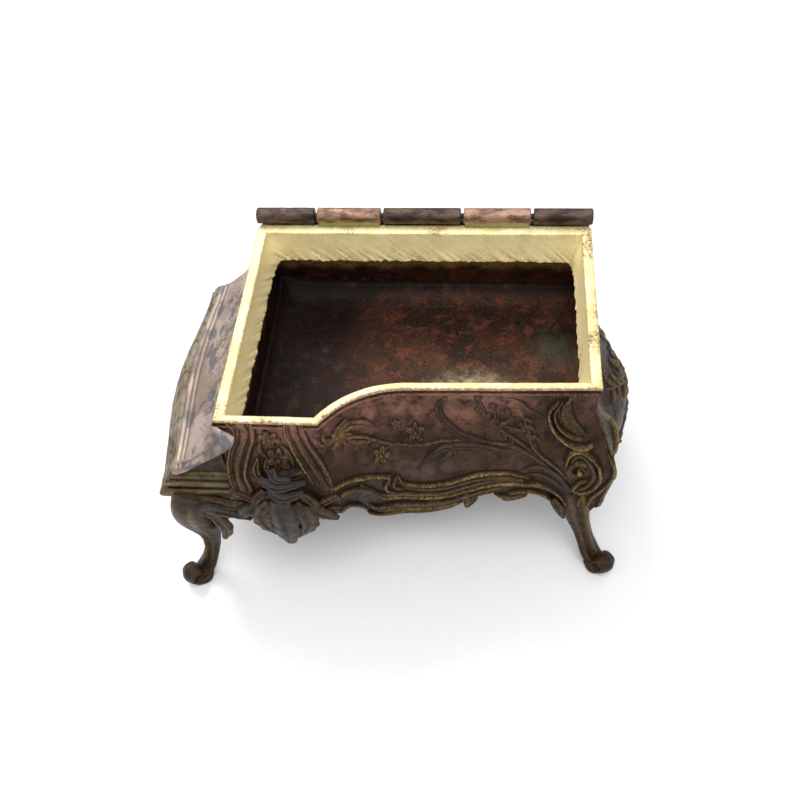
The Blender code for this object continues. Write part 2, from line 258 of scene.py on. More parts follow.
def mesh_piece(name, points, faces, materials, body, replaces=(), masks=None, face_material=None,
               sharp=None, merge=False):
    """A mesh object from points in box millimetres, with its masks, ridden on its body."""
    mesh = bpy.data.meshes.new(name)
    mesh.from_pydata(place(points).tolist(), [], faces)
    for material in materials:
        mesh.materials.append(material)
    if face_material is not None:
        mesh.polygons.foreach_set("material_index", np.asarray(face_material, np.int32))
    for key, values in (masks or {}).items():
        layer = mesh.attributes.new(key, "FLOAT", "POINT")
        layer.data.foreach_set("value", np.asarray(values, np.float32).ravel())
    work = bmesh.new()
    work.from_mesh(mesh)
    if merge:
        bmesh.ops.remove_doubles(work, verts=work.verts, dist=0.03 * MM)
    bmesh.ops.recalc_face_normals(work, faces=work.faces)
    work.to_mesh(mesh)
    work.free()
    mesh.shade_smooth()
    if sharp:
        mesh.set_sharp_from_angle(angle=math.radians(sharp))
    piece = bpy.data.objects.new(name, mesh)
    bpy.context.collection.objects.link(piece)
    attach(piece, body)
    if replaces:
        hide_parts(*replaces)


def grid_faces(rows, columns, wrap_rows=False, wrap_columns=False):
    """Quads of a grid of points, closed on itself along either direction."""
    r = np.arange(rows if wrap_rows else rows - 1)[:, None]
    c = np.arange(columns if wrap_columns else columns - 1)[None, :]
    r2, c2 = (r + 1) % rows, (c + 1) % columns
    quads = np.stack([r * columns + c, r * columns + c2, r2 * columns + c2, r2 * columns + c], -1)
    return quads.reshape(-1, 4).tolist()


def tube_mesh(rings):
    """Points and faces of a tube through rings of points, its ends capped."""
    rings = np.asarray(rings)
    count, sides = rings.shape[:2]
    faces = grid_faces(count, sides, wrap_columns=True)
    faces.append(list(range(sides)))
    faces.append(list(range((count - 1) * sides, count * sides)))
    return rings.reshape(-1, 3), faces


# ---------------------------------------------------------------- materials

def coat(crest, **others):
    """Masks for a patina, from its crests and whatever else differs from zero."""
    return {"crest": crest, **{key: crest * 0 + others.get(key, 0.0)
                               for key in ("recess", "gold", "soot", "rosy")}}


def backed(masks):
    """Masks for a closed loop of which the second half is the plain back."""
    return {key: np.concatenate([values, np.zeros(values.shape)], 1) for key, values in masks.items()}


def colour(red, green, blue):
    """Screen colour (0 to 255) as a linear colour for a shader."""
    linear = [((v / 255 + 0.055) / 1.055) ** 2.4 if v > 10 else v / 255 / 12.92 for v in (red, green, blue)]
    return (*linear, 1)


class Shader:
    """Small helper that builds a procedural Principled material."""

    def __init__(self, name, metallic, roughness):
        self.material = bpy.data.materials.new(name)
        self.material.use_nodes = True
        self.tree = self.material.node_tree
        self.shader = self.tree.nodes["Principled BSDF"]
        self.shader.inputs["Metallic"].default_value = metallic
        self.shader.inputs["Roughness"].default_value = roughness
        place_node = self.tree.nodes.new("ShaderNodeTexCoord")
        scale = self.tree.nodes.new("ShaderNodeVectorMath")
        scale.operation = "SCALE"
        scale.inputs["Scale"].default_value = 1 / MM
        self.tree.links.new(place_node.outputs["Object"], scale.inputs[0])
        self.where = scale.outputs[0]

    def noise(self, size, detail=4, rough=0.55, shift=0.0, stretch=(1, 1, 1)):
        """Noise with features about size millimetres across."""
        mapping = self.tree.nodes.new("ShaderNodeMapping")
        mapping.inputs["Location"].default_value = (shift, shift * 0.7, shift * 1.3)
        mapping.inputs["Scale"].default_value = stretch
        self.tree.links.new(self.where, mapping.inputs[0])
        node = self.tree.nodes.new("ShaderNodeTexNoise")
        node.inputs["Scale"].default_value = 1 / size
        node.inputs["Detail"].default_value = detail
        node.inputs["Roughness"].default_value = rough
        self.tree.links.new(mapping.outputs[0], node.inputs["Vector"])
        return node.outputs["Fac"]

    def mask(self, name):
        """One of the masks stored on the mesh."""
        node = self.tree.nodes.new("ShaderNodeAttribute")
        node.attribute_name = name
        return node.outputs["Fac"]

    def between(self, value, low, high, top=1.0):
        """0 below low, top above high."""
        node = self.tree.nodes.new("ShaderNodeMapRange")
        node.interpolation_type = "SMOOTHSTEP"
        node.inputs["From Min"].default_value = low
        node.inputs["From Max"].default_value = high
        node.inputs["To Max"].default_value = top
        self.tree.links.new(value, node.inputs["Value"])
        return node.outputs["Result"]

    def calc(self, operation, a, b):
        """Clamped arithmetic on two values or sockets."""
        node = self.tree.nodes.new("ShaderNodeMath")
        node.operation = operation
        node.use_clamp = True
        for socket, value in zip(node.inputs, (a, b)):
            if isinstance(value, (int, float)):
                socket.default_value = value
            else:
                self.tree.links.new(value, socket)
        return node.outputs[0]

    def mix(self, share, a, b):
        """Colour a where share is 0, b where it is 1."""
        node = self.tree.nodes.new("ShaderNodeMix")
        node.data_type = "RGBA"
        sockets = (node.inputs[0], node.inputs[6], node.inputs[7])
        for socket, value in zip(sockets, (share, a, b)):
            if isinstance(value, (int, float, tuple)):
                socket.default_value = value
            else:
                self.tree.links.new(value, socket)
        return node.outputs[2]

    def lay(self, base, paint, share, *others):
        """Lays a colour over the base, as far as all the shares allow."""
        for other in others:
            share = self.calc("MULTIPLY", share, other)
        return self.mix(share, base, paint)

    def finish(self, base, rough=None, bumps=()):
        """Links the base colour, the roughness and (height, depth in mm) bumps."""
        self.tree.links.new(base, self.shader.inputs["Base Color"])
        if rough is not None:
            self.tree.links.new(rough, self.shader.inputs["Roughness"])
        normal = None
        for height, depth in bumps:
            bump = self.tree.nodes.new("ShaderNodeBump")
            bump.inputs["Distance"].default_value = depth * MM
            bump.inputs["Strength"].default_value = 0.8
            self.tree.links.new(height, bump.inputs["Height"])
            if normal is not None:
                self.tree.links.new(normal, bump.inputs["Normal"])
            normal = bump.outputs[0]
        if normal is not None:
            self.tree.links.new(normal, self.shader.inputs["Normal"])
        return self.material


def spread(shader, value, low, high):
    """Maps noise onto a range, for roughness."""
    node = shader.tree.nodes.new("ShaderNodeMapRange")
    node.inputs["From Min"].default_value = 0.3
    node.inputs["From Max"].default_value = 0.7
    node.inputs["To Min"].default_value = low
    node.inputs["To Max"].default_value = high
    shader.tree.links.new(value, node.inputs["Value"])
    return node.outputs["Result"]


def patina(name, light, brown, dark, brass, shift=0.0):
    """Plated casting: light metal where it is rubbed and, as painted highlight, where the rose mask is
    high; brown and black patina; brass on the crests, partly as painted highlight.
    """
    s = Shader(name, 0.7, 0.45)
    broad = s.noise(9, 4, 0.6, shift)
    blotch = s.noise(2.6, 6, 0.65, shift + 40)
    fine = s.noise(0.6, 5, 0.7, shift + 80)
    speck = s.noise(0.22, 3, 0.6, shift + 120)
    # painted highlight: the rose mask pulls the base towards the light colour, on top of the rubbed patches
    rubbed = s.calc("MULTIPLY", s.between(broad, 0.4, 0.62), s.calc("ADD", s.mask("rosy"), 0.12))
    base = s.mix(s.calc("ADD", rubbed, s.calc("MULTIPLY", s.mask("rosy"), 0.45)), brown, light)
    base = s.lay(base, dark, s.between(blotch, 0.44, 0.68, 0.85))
    base = s.lay(base, dark, s.between(speck, 0.6, 0.75, 0.45))
    base = s.lay(base, dark, s.mask("recess"), 0.85)
    # brass on the crests: rubbed metal, and painted highlight along the ridges
    crest = s.calc("MULTIPLY", s.mask("crest"), s.between(fine, 0.38, 0.6, 0.8))
    base = s.lay(base, brass, crest, 0.42)
    gilt = s.calc("MULTIPLY", s.mask("gold"), s.between(fine, 0.4, 0.56))
    gilt = s.calc("MULTIPLY", gilt, s.between(blotch, 0.38, 0.6, 0.95))
    base = s.lay(base, brass, gilt)
    base = s.lay(base, dark, s.between(s.noise(0.9, 8, 0.8, shift + 160), 0.54, 0.68, 0.6))
    base = s.lay(base, colour(24, 21, 21), s.mask("soot"), s.between(fine, 0.3, 0.5, 0.85))
    return s.finish(base, spread(s, blotch, 0.3, 0.55), ((fine, 0.3), (speck, 0.12)))


def gilt_metal():
    """Pale worn gilding with brown specks and rubbed patches."""
    s = Shader("pale_gilt_rim", 0.12, 0.36)
    broad = s.noise(7, 4, 0.6)
    fine = s.noise(0.7, 6, 0.7, 30)
    speck = s.noise(0.35, 4, 0.7, 60)
    base = s.mix(s.between(broad, 0.42, 0.62), colour(246, 232, 176), colour(226, 206, 144))
    base = s.lay(base, colour(255, 236, 178), s.mask("inner"), 0.9)
    base = s.lay(base, colour(138, 106, 62), s.mask("worn"), s.between(fine, 0.4, 0.6))
    base = s.lay(base, colour(120, 88, 52), s.between(speck, 0.64, 0.72, 0.7))
    base = s.lay(base, colour(150, 96, 84), s.mask("pink"), s.between(fine, 0.3, 0.55, 0.9))
    return s.finish(base, spread(s, fine, 0.32, 0.55), ((fine, 0.08), (speck, 0.04)))


def interior_metal():
    """Raw inside of the casting: red-brown and black, with painted shade in its shaded parts, verdigris and
    a grey scraped patch.
    """
    s = Shader("dark_interior", 0.55, 0.6)
    broad = s.noise(16, 4, 0.6, 7)
    blotch = s.noise(4.5, 6, 0.68, 50)
    fine = s.noise(0.9, 5, 0.7, 90)
    base = s.mix(s.between(broad, 0.4, 0.62), colour(46, 22, 12), colour(88, 52, 32))
    base = s.lay(base, colour(132, 64, 46), s.between(blotch, 0.51, 0.62, 0.8))
    base = s.lay(base, colour(52, 46, 30), s.between(s.noise(3.2, 6, 0.7, 140), 0.52, 0.66, 0.8))
    base = s.lay(base, colour(128, 98, 70), s.between(s.noise(0.5, 6, 0.8, 170), 0.52, 0.62, 0.55))
    base = s.lay(base, colour(22, 12, 8), s.between(fine, 0.5, 0.66, 0.75))
    # painted shade: near-black red where the compartment lies in shade
    base = s.lay(base, colour(16, 5, 3), s.mask("painted_shade"), s.between(blotch, 0.2, 0.5, 0.9))
    base = s.lay(base, colour(72, 86, 66), s.mask("verdigris"), s.between(blotch, 0.35, 0.55, 0.85))
    base = s.lay(base, colour(182, 166, 136), s.mask("scraped"), s.between(blotch, 0.36, 0.6, 0.9))
    base = s.lay(base, colour(186, 150, 88), s.mask("drips"), s.between(fine, 0.32, 0.56, 0.9))
    return s.finish(base, spread(s, blotch, 0.45, 0.7), ((blotch, 0.4), (fine, 0.3)))


def cover_metal():
    """Pale pinkish grey plate with blue-grey tarnish."""
    s = Shader("cover_plate", 0.35, 0.45)
    broad = s.noise(11, 4, 0.6, 13)
    blotch = s.noise(5.0, 5, 0.6, 70, (1, 0.5, 1))
    fine = s.noise(0.7, 5, 0.7, 110)
    base = s.mix(s.between(broad, 0.4, 0.6), colour(170, 150, 136), colour(138, 116, 104))
    base = s.lay(base, colour(84, 86, 94), s.between(blotch, 0.51, 0.58, 0.85))
    base = s.lay(base, colour(104, 84, 68), s.between(s.noise(1.1, 8, 0.8, 190), 0.54, 0.64, 0.6))
    base = s.lay(base, colour(84, 70, 58), s.mask("recess"), 0.7)
    base = s.lay(base, colour(92, 96, 104), s.mask("soot"), s.between(fine, 0.3, 0.5, 0.9))
    # painted highlight: the crests of the relief lightened
    base = s.lay(base, colour(190, 172, 152), s.mask("crest"), 0.12)
    base = s.lay(base, colour(96, 78, 64), s.between(fine, 0.62, 0.74, 0.5))
    return s.finish(base, spread(s, blotch, 0.36, 0.58), ((fine, 0.08),))


def tube_metal(name, light, dark, green, shift):
    """Drawn tube with stains along it and greenish solder."""
    s = Shader(name, 0.5, 0.45)
    blotch = s.noise(2.4, 5, 0.65, shift, (0.4, 1, 1))
    fine = s.noise(0.5, 5, 0.7, shift + 30, (0.5, 1, 1))
    base = s.mix(s.between(blotch, 0.4, 0.62), light, dark)
    base = s.lay(base, green, s.mask("solder"), s.between(fine, 0.3, 0.55))
    base = s.lay(base, dark, s.between(fine, 0.56, 0.7, 0.6))
    return s.finish(base, spread(s, fine, 0.35, 0.6), ((fine, 0.12),))


# ROSE: light rose metal of the rubbed patches, also the painted highlight on the top band of the front
ROSE = colour(134, 90, 76)
BROWN = colour(56, 38, 22)
DARK = colour(24, 16, 8)
BRASS = colour(168, 142, 84)
BODY = patina("body_patina", ROSE, BROWN, DARK, BRASS)
BRONZE = patina("bronze_patina", colour(104, 76, 54), colour(60, 44, 26), colour(20, 14, 7),
                colour(150, 126, 72),
                shift=200)
GILT = gilt_metal()
INTERIOR = interior_metal()
COVER = cover_metal()
LID_TUBE = tube_metal("lid_tube", colour(92, 72, 60), colour(38, 27, 20), colour(120, 112, 70), 300)
CASE_TUBE = tube_metal("case_tube", colour(166, 132, 112), colour(98, 70, 50), colour(150, 150, 92), 400)
PIN = tube_metal("pin_wire", colour(60, 52, 44), colour(30, 24, 20), colour(60, 60, 40), 500)


# ---------------------------------------------------------------- the case's surface

BELLY_PROFILE = ((72, 0), (68, -0.03), (64, -0.02), (60, 0.1), (56, 0.36), (52, 0.68), (48, 0.92),
                 (44, 1.0), (40, 0.98), (34, 0.88), (28, 0.74), (22, 0.62), (16, 0.58))
FRONT_EDGE = ((26, 37.6), (28, 39), (29.6, 37.7), (31.3, 34.1), (32.2, 30), (33.6, 25.5), (36, 22.2),
              (41, 20.3), (46, 20), (51, 21), (55.5, 23.2), (58.4, 25.8), (60.3, 24.2), (62, 27.4),
              (63.8, 31), (66.5, 32.8), (68.4, 31.4), (70.5, 29.3), (73, 29.6), (76.5, 31.8),
              (80.4, 29.9), (82.6, 28), (84.4, 24.6), (85.6, 21), (87.4, 17.5), (93, 17), (94.8, 18.5),
              (96.2, 23), (98, 29))
FRONT_LINE = ((24, 50.6), (27, 50.5), (29.5, 49.2), (33, 47), (37, 44.6), (40.5, 42.4), (43, 38.4),
              (47, 36.8), (52, 37.3), (57, 40), (62, 43), (67, 44), (72, 43.2), (76, 40.5), (80, 36.6),
              (84, 31), (98, 28))
SIDE_EDGE = ((0, 19), (0.05, 21), (0.1, 28), (0.14, 31), (0.2, 31.5), (0.35, 30.5), (0.5, 26),
             (0.65, 30.5), (0.84, 31.5), (0.93, 31.3), (1, 29.5))
BACK_EDGE = ((0, 37.6), (0.12, 37.4), (0.3, 32), (0.5, 25.5), (0.7, 30), (0.84, 32), (0.9, 29),
             (0.94, 22), (1, 19))


def case_columns(counts):
    """Rim point, belly point and side of each column of the case wall, clockwise from the back left."""
    back, tail, front, step, cheek, left = counts
    rim, belly, side, share = [], [], [], []

    def add(name, count, make):
        t = np.arange(count) / count
        r, b = make(t)
        rim.append(np.stack(r, 1))
        belly.append(np.stack(b, 1))
        side.extend([name] * count)
        share.append(t)

    def one(t, value):
        return np.full(t.shape, float(value))

    add("back", back, lambda t: ((LENGTH * t, one(t, 0)), ((LENGTH + 0.6) * t, one(t, 5.6))))
    add("tail", tail, lambda t: ((one(t, LENGTH), -TAIL * t),
                                 (LENGTH + 0.6 + 5.0 * t ** 2 + TAIL_BOW * np.sin(math.pi * t ** 1.35) ** 2,
                                  5.6 - (TAIL + 11.4) * t)))
    add("front", front, lambda t: ((LENGTH + (STEP_X - LENGTH) * t, -TAIL - 1.2 * t),
                                   (LENGTH + 5.6 + (STEP_X - LENGTH - 5.6) * t, -TAIL - 5.8 - 1.6 * t)))

    def turn(t):
        return math.pi / 2 - math.pi / 3 * t

    add("step", step, lambda t: ((STEP_X - STEP_ALONG * np.cos(turn(t)),
                                  STEP_CENTRE + STEP_ACROSS * np.sin(turn(t))),
                                 (STEP_X - 20.8 * np.cos(turn(t)),
                                  STEP_CENTRE - 5.4 + 21.0 * np.sin(turn(t)))))
    add("cheek", cheek, lambda t: ((25.2 * (1 - t), one(t, -CHEEK)),
                                   (28.0 * (1 - t), one(t, -CHEEK - 5.8))))
    add("left", left, lambda t: ((one(t, 0), CHEEK * (t - 1)),
                                 (one(t, 0), (CHEEK + 11.4) * t - CHEEK - 5.8)))
    return np.vstack(rim), np.vstack(belly), np.array(side), np.concatenate(share)


def outward(points):
    """Outward unit normals of a closed clockwise outline."""
    step = np.roll(points, -1, 0) - points
    step /= np.maximum(np.hypot(*step.T), 1e-9)[:, None]
    along = step + np.roll(step, 1, 0)
    along /= np.maximum(np.hypot(*along.T), 1e-9)[:, None]
    return np.stack([-along[:, 1], along[:, 0]], 1)


def mitred(columns, side):
    """Inset wall columns, kept from crossing one another at the square corners."""
    out = columns.copy()
    at = {name: columns[..., [np.argmax(side == name)], :]
          for name in ("back", "tail", "front", "step", "cheek", "left")}
    for name, axis, low, high in (("back", 0, "back", "tail"), ("tail", 1, "front", "tail"),
                                  ("front", 0, "back", "front"),
                                  ("step", 0, "cheek", "step"), ("step", 1, "cheek", "step"),
                                  ("cheek", 0, "left", "cheek"), ("left", 1, "left", "back")):
        part = side == name
        out[..., part, axis] = np.clip(columns[..., part, axis], at[low][..., axis], at[high][..., axis])
    return out


def front_relief(relief, to_s):
    """Ornament of the long front, the concave step and the cheek, in x and height."""
    def at(*points):
        return [(to_s(x), h) for x, h in points]

    for part in (apron_relief, rocaille_relief, stem_relief, corner_relief, cheek_relief):
        part(relief, at)


def apron_relief(relief, at):
    """Serpentine apron: fine brass lines with hollows between them over a fat bottom roll."""
    draw = relief.stroke
    upper = ((42.2, 41.8), (43.4, 38.2), (47, 36.8), (52, 37.3), (57, 40), (62, 43), (67, 44), (71, 43.6),
             (75.6, 41.4))
    lower = ((26.8, 47.6), (29.6, 46.4), (32.5, 43.8), (35, 38.8), (37.6, 33.4), (42, 31.5), (48, 30.6),
             (54, 31.8),
             (59, 35.1), (64.5, 38.6), (69, 39.9), (74, 39.8), (77.5, 38.8), (81.5, 35.6), (85, 30.6),
             (88.6, 24))
    draw(at((26.6, 50.6), (29.5, 49.2), (33, 47), (37, 44.6), (39.6, 43)), 0.42, 1.15, ends=(0.5, 0.8),
         gold=1)
    draw(at(*upper), 0.36, 1.15, ends=(0.7, 0.4), gold=1)
    draw(at(*[(x + 0.3, h - 1.7) for x, h in upper[1:]]), 0.9, 0.85, ends=(0.5, 0.4), soot=0.25)
    draw(at((39.9, 43.6), (38.4, 40.6), (38.7, 37.2), (40.4, 34.4)), 0.5, 1.3, ends=(0.5, 0.5), gold=0.8)
    draw(at((41.9, 42.6), (40.6, 40), (41, 37.4), (42.8, 35.6)), 0.5, 1.1, ends=(0.5, 0.5), gold=0.2)
    draw(at(*lower), 0.4, 1.5, ends=(0.5, 0.9), gold=0.9)
    draw(at(*[(x - 0.2, h + 1.5) for x, h in lower[2:12]]), 0.8, 1.0, ends=(0.4, 0.4), gold=0.15)
    draw(at((33.8, 31.4), (35.6, 28.2), (38.8, 26.2), (43, 25.6), (49, 25.8), (55, 28), (60, 31.8),
            (64, 35.6), (69, 37.4)), 1.1,
         1.5, ends=(0.5, 0.4), gold=0.12)
    draw(at((34, 29.4), (36, 26.2), (39, 24.4), (43, 23.6), (49, 23.7), (55, 26), (60, 30), (64, 34),
            (69, 36)), 0.34, 1.8,
         ends=(0.5, 0.4), gold=0.9)
    draw(at((33, 27.6), (35, 24.0), (38, 21.8), (43, 21.2), (49, 21.4), (55, 23.8), (58, 26)), 1.1, 1.5,
         ends=(0.6, 0.5), gold=0.1)
    draw(at((27.4, 40.8), (29, 40.2), (30.6, 37.4), (31.7, 34), (32.6, 30.5)), 0.8, 1.3, ends=(0.6, 0.5),
         gold=0.15)
    draw(at((60.2, 25.0), (61.3, 28), (62.6, 31)), 1.3, 1.8, "leaf", (0.8, 0.5), gold=0.3)
    draw(at((57.5, 31), (60, 30.5), (62.5, 32)), 1.0, 1.6, "leaf", (0.4, 0.4), soot=0.3)
    draw(at((67.4, 32.0), (71, 30.4), (75.4, 32.4)), 1.5, 1.6, "leaf", (0.5, 0.5), gold=0.15)
    draw(at((71, 33.6), (75, 35.0), (79, 33.6), (83, 29.4), (85.6, 24), (87.6, 18)), 0.55, 1.5,
         ends=(0.4, 0.7), gold=0.55)
    draw(at((73, 44), (76.3, 46.3), (80, 46), (83.5, 41.8), (87, 34.5)), 0.45, 0.8, ends=(0.2, 0.4),
         soot=0.5)
    draw(at((74.5, 42.6), (78, 43), (81.5, 40.4), (85, 35)), 0.4, 0.7, ends=(0.2, 0.4), soot=0.4)
    draw([(s, 69.4) for s in np.linspace(0, at((1, 0))[0][0], 40)], 0.4, 0.6, ends=(1, 1), gold=0.15, per=2)


def rocaille_relief(relief, at):
    """Gilt spray of leaves at the step."""
    draw = relief.stroke
    for k in range(11):
        angle = math.radians(128 - 23 * k)
        reach = 3.6 + 1.5 * math.sin(2.3 * k)
        tip = (29.6 + 1.35 * reach * math.cos(angle), 61.2 + reach * math.sin(angle))
        bend = (29.6 + 0.7 * reach * math.cos(angle + 0.3), 61.2 + 0.6 * reach * math.sin(angle + 0.3))
        draw(at((29.6, 61.2), bend, tip), 0.5, 0.95, "leaf", (0.5, 0.25), gold=1.0 if k % 3 else 0.3)
    draw(at((28.4, 61.2), (34.6, 57.6), (39, 54.4), (43, 52.6)), 0.35, 0.6, ends=(0.8, 0.2), gold=0.2)
    draw(at((32.0, 63.4), (35.0, 62.0), (37.6, 59.8)), 0.6, 0.6, "leaf", (0.3, 0.2), gold=0.5)
    draw(at((31.5, 59.2), (33.8, 56.4), (37.4, 55.2)), 0.6, 0.55, "leaf", (0.3, 0.2), gold=0.3)


def stem_relief(relief, at):
    """Flowers, buds and long stems over the front."""
    draw = relief.stroke
    relief.flower(at((47.2, 56.4))[0], 2.0, 0.75, gold=0.5, soot=0.4)
    relief.flower(at((38.4, 51.2))[0], 1.9, 0.8, gold=0.75, soot=0.2, turn=0.7)
    relief.flower(at((42.6, 58.6))[0], 1.0, 0.4, turn=0.1)
    draw(at((38.4, 51.8), (42, 53.2), (47, 52.8), (54, 53.8), (61, 54.3), (67, 53.4)), 0.24, 0.4,
         ends=(0.5, 0.4), gold=0.08)
    draw(at((55.4, 67.2), (53.8, 64.6), (54.3, 60.6), (56.6, 57.6), (60.4, 55), (67, 53.5)), 0.95, 0.75,
         "leaf", (0.7, 0.15),
         soot=0.85)
    draw(at((53.7, 66.2), (53, 63.6), (53.8, 60.2)), 0.25, 0.7, ends=(0.3, 0.3), gold=0.6)
    draw(at((47.5, 44.9), (49.7, 48.6), (52.9, 51.4), (57, 52.6), (62, 52.7), (67.3, 51.9), (71, 51.2)),
         0.95, 0.8, "leaf",
         (0.15, 0.3), soot=0.6)
    draw(at((56.5, 48.4), (58.2, 50.7), (61.2, 51.6)), 0.7, 0.65, "leaf", (0.2, 0.3), soot=0.6)
    draw(at((53.2, 48.2), (55.6, 50.4), (59, 51.6)), 0.55, 0.6, "leaf", (0.2, 0.3), soot=0.4)
    draw(at((66.5, 53.4), (71, 53.0), (76, 50.6), (80, 46.6), (83, 42.6)), 0.5, 0.7, ends=(0.3, 0.6),
         soot=0.35)
    draw(at((64.1, 66.4), (65.6, 61.6), (68.2, 58.6), (72, 55.4), (76.6, 51.4), (80, 47)), 0.42, 0.65,
         ends=(0.4, 0.5), soot=0.3)
    for x, h, size in ((64.4, 67.6, 0.95), (68.2, 64.2, 1.0), (67.0, 61.0, 0.85), (72.2, 62.4, 0.95),
                       (64.2, 63.4, 0.7),
                       (69.2, 59.6, 0.75), (75.5, 58.4, 0.8)):
        draw(at((x, h), (x + 0.01, h)), size, 0.9, ends=(1, 1), soot=0.8)
        draw(at((x, h - size), (x + 0.6, h - 2.2 * size), (68.6 + 0.35 * (x - 68.6), 57.6)), 0.3, 0.5,
             ends=(0.6, 0.5), soot=0.3)
    relief.spray(at((66.5, 58.6), (70.4, 57.0), (73, 54.4)), 2.8, 6, 0.7, gold=0.1, soot=0.3)
    relief.spray(at((76.4, 60.6), (77, 56.6), (78.4, 51.4)), 2.3, 6, 0.65, gold=0.15)
    draw(at((77.4, 57), (76.9, 53.8), (78.8, 50), (82.4, 45.8), (85, 40.8)), 0.5, 0.7, ends=(0.3, 0.6),
         gold=0.2)
    draw(at((71.5, 67.5), (75, 66.4), (79, 62.4), (82, 60.2)), 0.5, 0.5, ends=(0.2, 0.3), soot=0.2)


def corner_relief(relief, at):
    """Upper C scroll, lower volute and the ridges that run down into the leg."""
    draw = relief.stroke
    draw(at((85.6, 66.8), (83.3, 62.4), (83.8, 57.4), (86.4, 53.8), (89.6, 52.4), (92.6, 53.2)), 0.55, 1.7,
         "round", (0.4, 0.5),
         gold=0.95)
    draw(at((86.8, 66.4), (84.8, 62.2), (85.4, 58.0), (87.6, 55.4), (90.4, 54.6)), 0.5, 1.3, "round",
         (0.4, 0.4), gold=0.2)
    for bend, gold in ((0, 0.5), (1.3, 0.15), (2.6, 0.35), (3.9, 0.1)):
        draw(at((90.4 - 0.5 * bend, 69.8), (87.4 + 0.35 * bend, 65.0), (87.2 + 0.6 * bend, 60.2),
                (89.8 + 0.5 * bend, 55.6)),
             0.5, 1.2, "leaf", (0.4, 0.3), gold=gold)
    draw(at((84.6, 47.6), (86.0, 50.8), (89.2, 51.8), (92.2, 48.4), (93.2, 42), (92.1, 35.4), (89.4, 33.0)),
         0.6, 1.9, "round",
         (0.5, 0.6), gold=0.75)
    draw(at((86.0, 48.4), (87.6, 50.2), (89.6, 49.8), (91.2, 46.6), (91.8, 42), (90.8, 36.8), (89.0, 35.0)),
         0.8, 1.2, "round",
         (0.5, 0.6), soot=0.3)
    relief.volute(at((87.9, 45.2))[0], 3.0, 1.3, 2.2, 0.42, 1.8, gold=0.9, hand=-1)
    draw(at((89.4, 33.2), (87.4, 35.4), (88.2, 38.6), (90.2, 40.4)), 0.4, 1.6, ends=(0.5, 0.4), gold=0.9)
    draw(at((95.6, 51), (96.6, 44), (95.2, 36), (93.6, 29), (93.0, 22), (93.2, 17)), 0.55, 1.3,
         ends=(0.4, 0.8), gold=0.6)
    draw(at((90.8, 33), (90.6, 28), (90.8, 22), (91.2, 17)), 0.55, 1.3, ends=(0.5, 0.9), gold=0.8)
    draw(at((88.4, 31), (88.0, 27), (88.6, 22), (89.4, 17)), 0.45, 1.1, ends=(0.5, 0.9), gold=0.3)
    corner = at((200, 0))[0][0]
    draw([(corner - 0.4, 71), (corner - 1.0, 64), (corner - 0.5, 57), (corner - 0.3, 48),
          (corner - 0.3, 36), (corner - 0.3, 17)],
         0.7, 0.9, ends=(0.6, 0.8), gold=0.3)


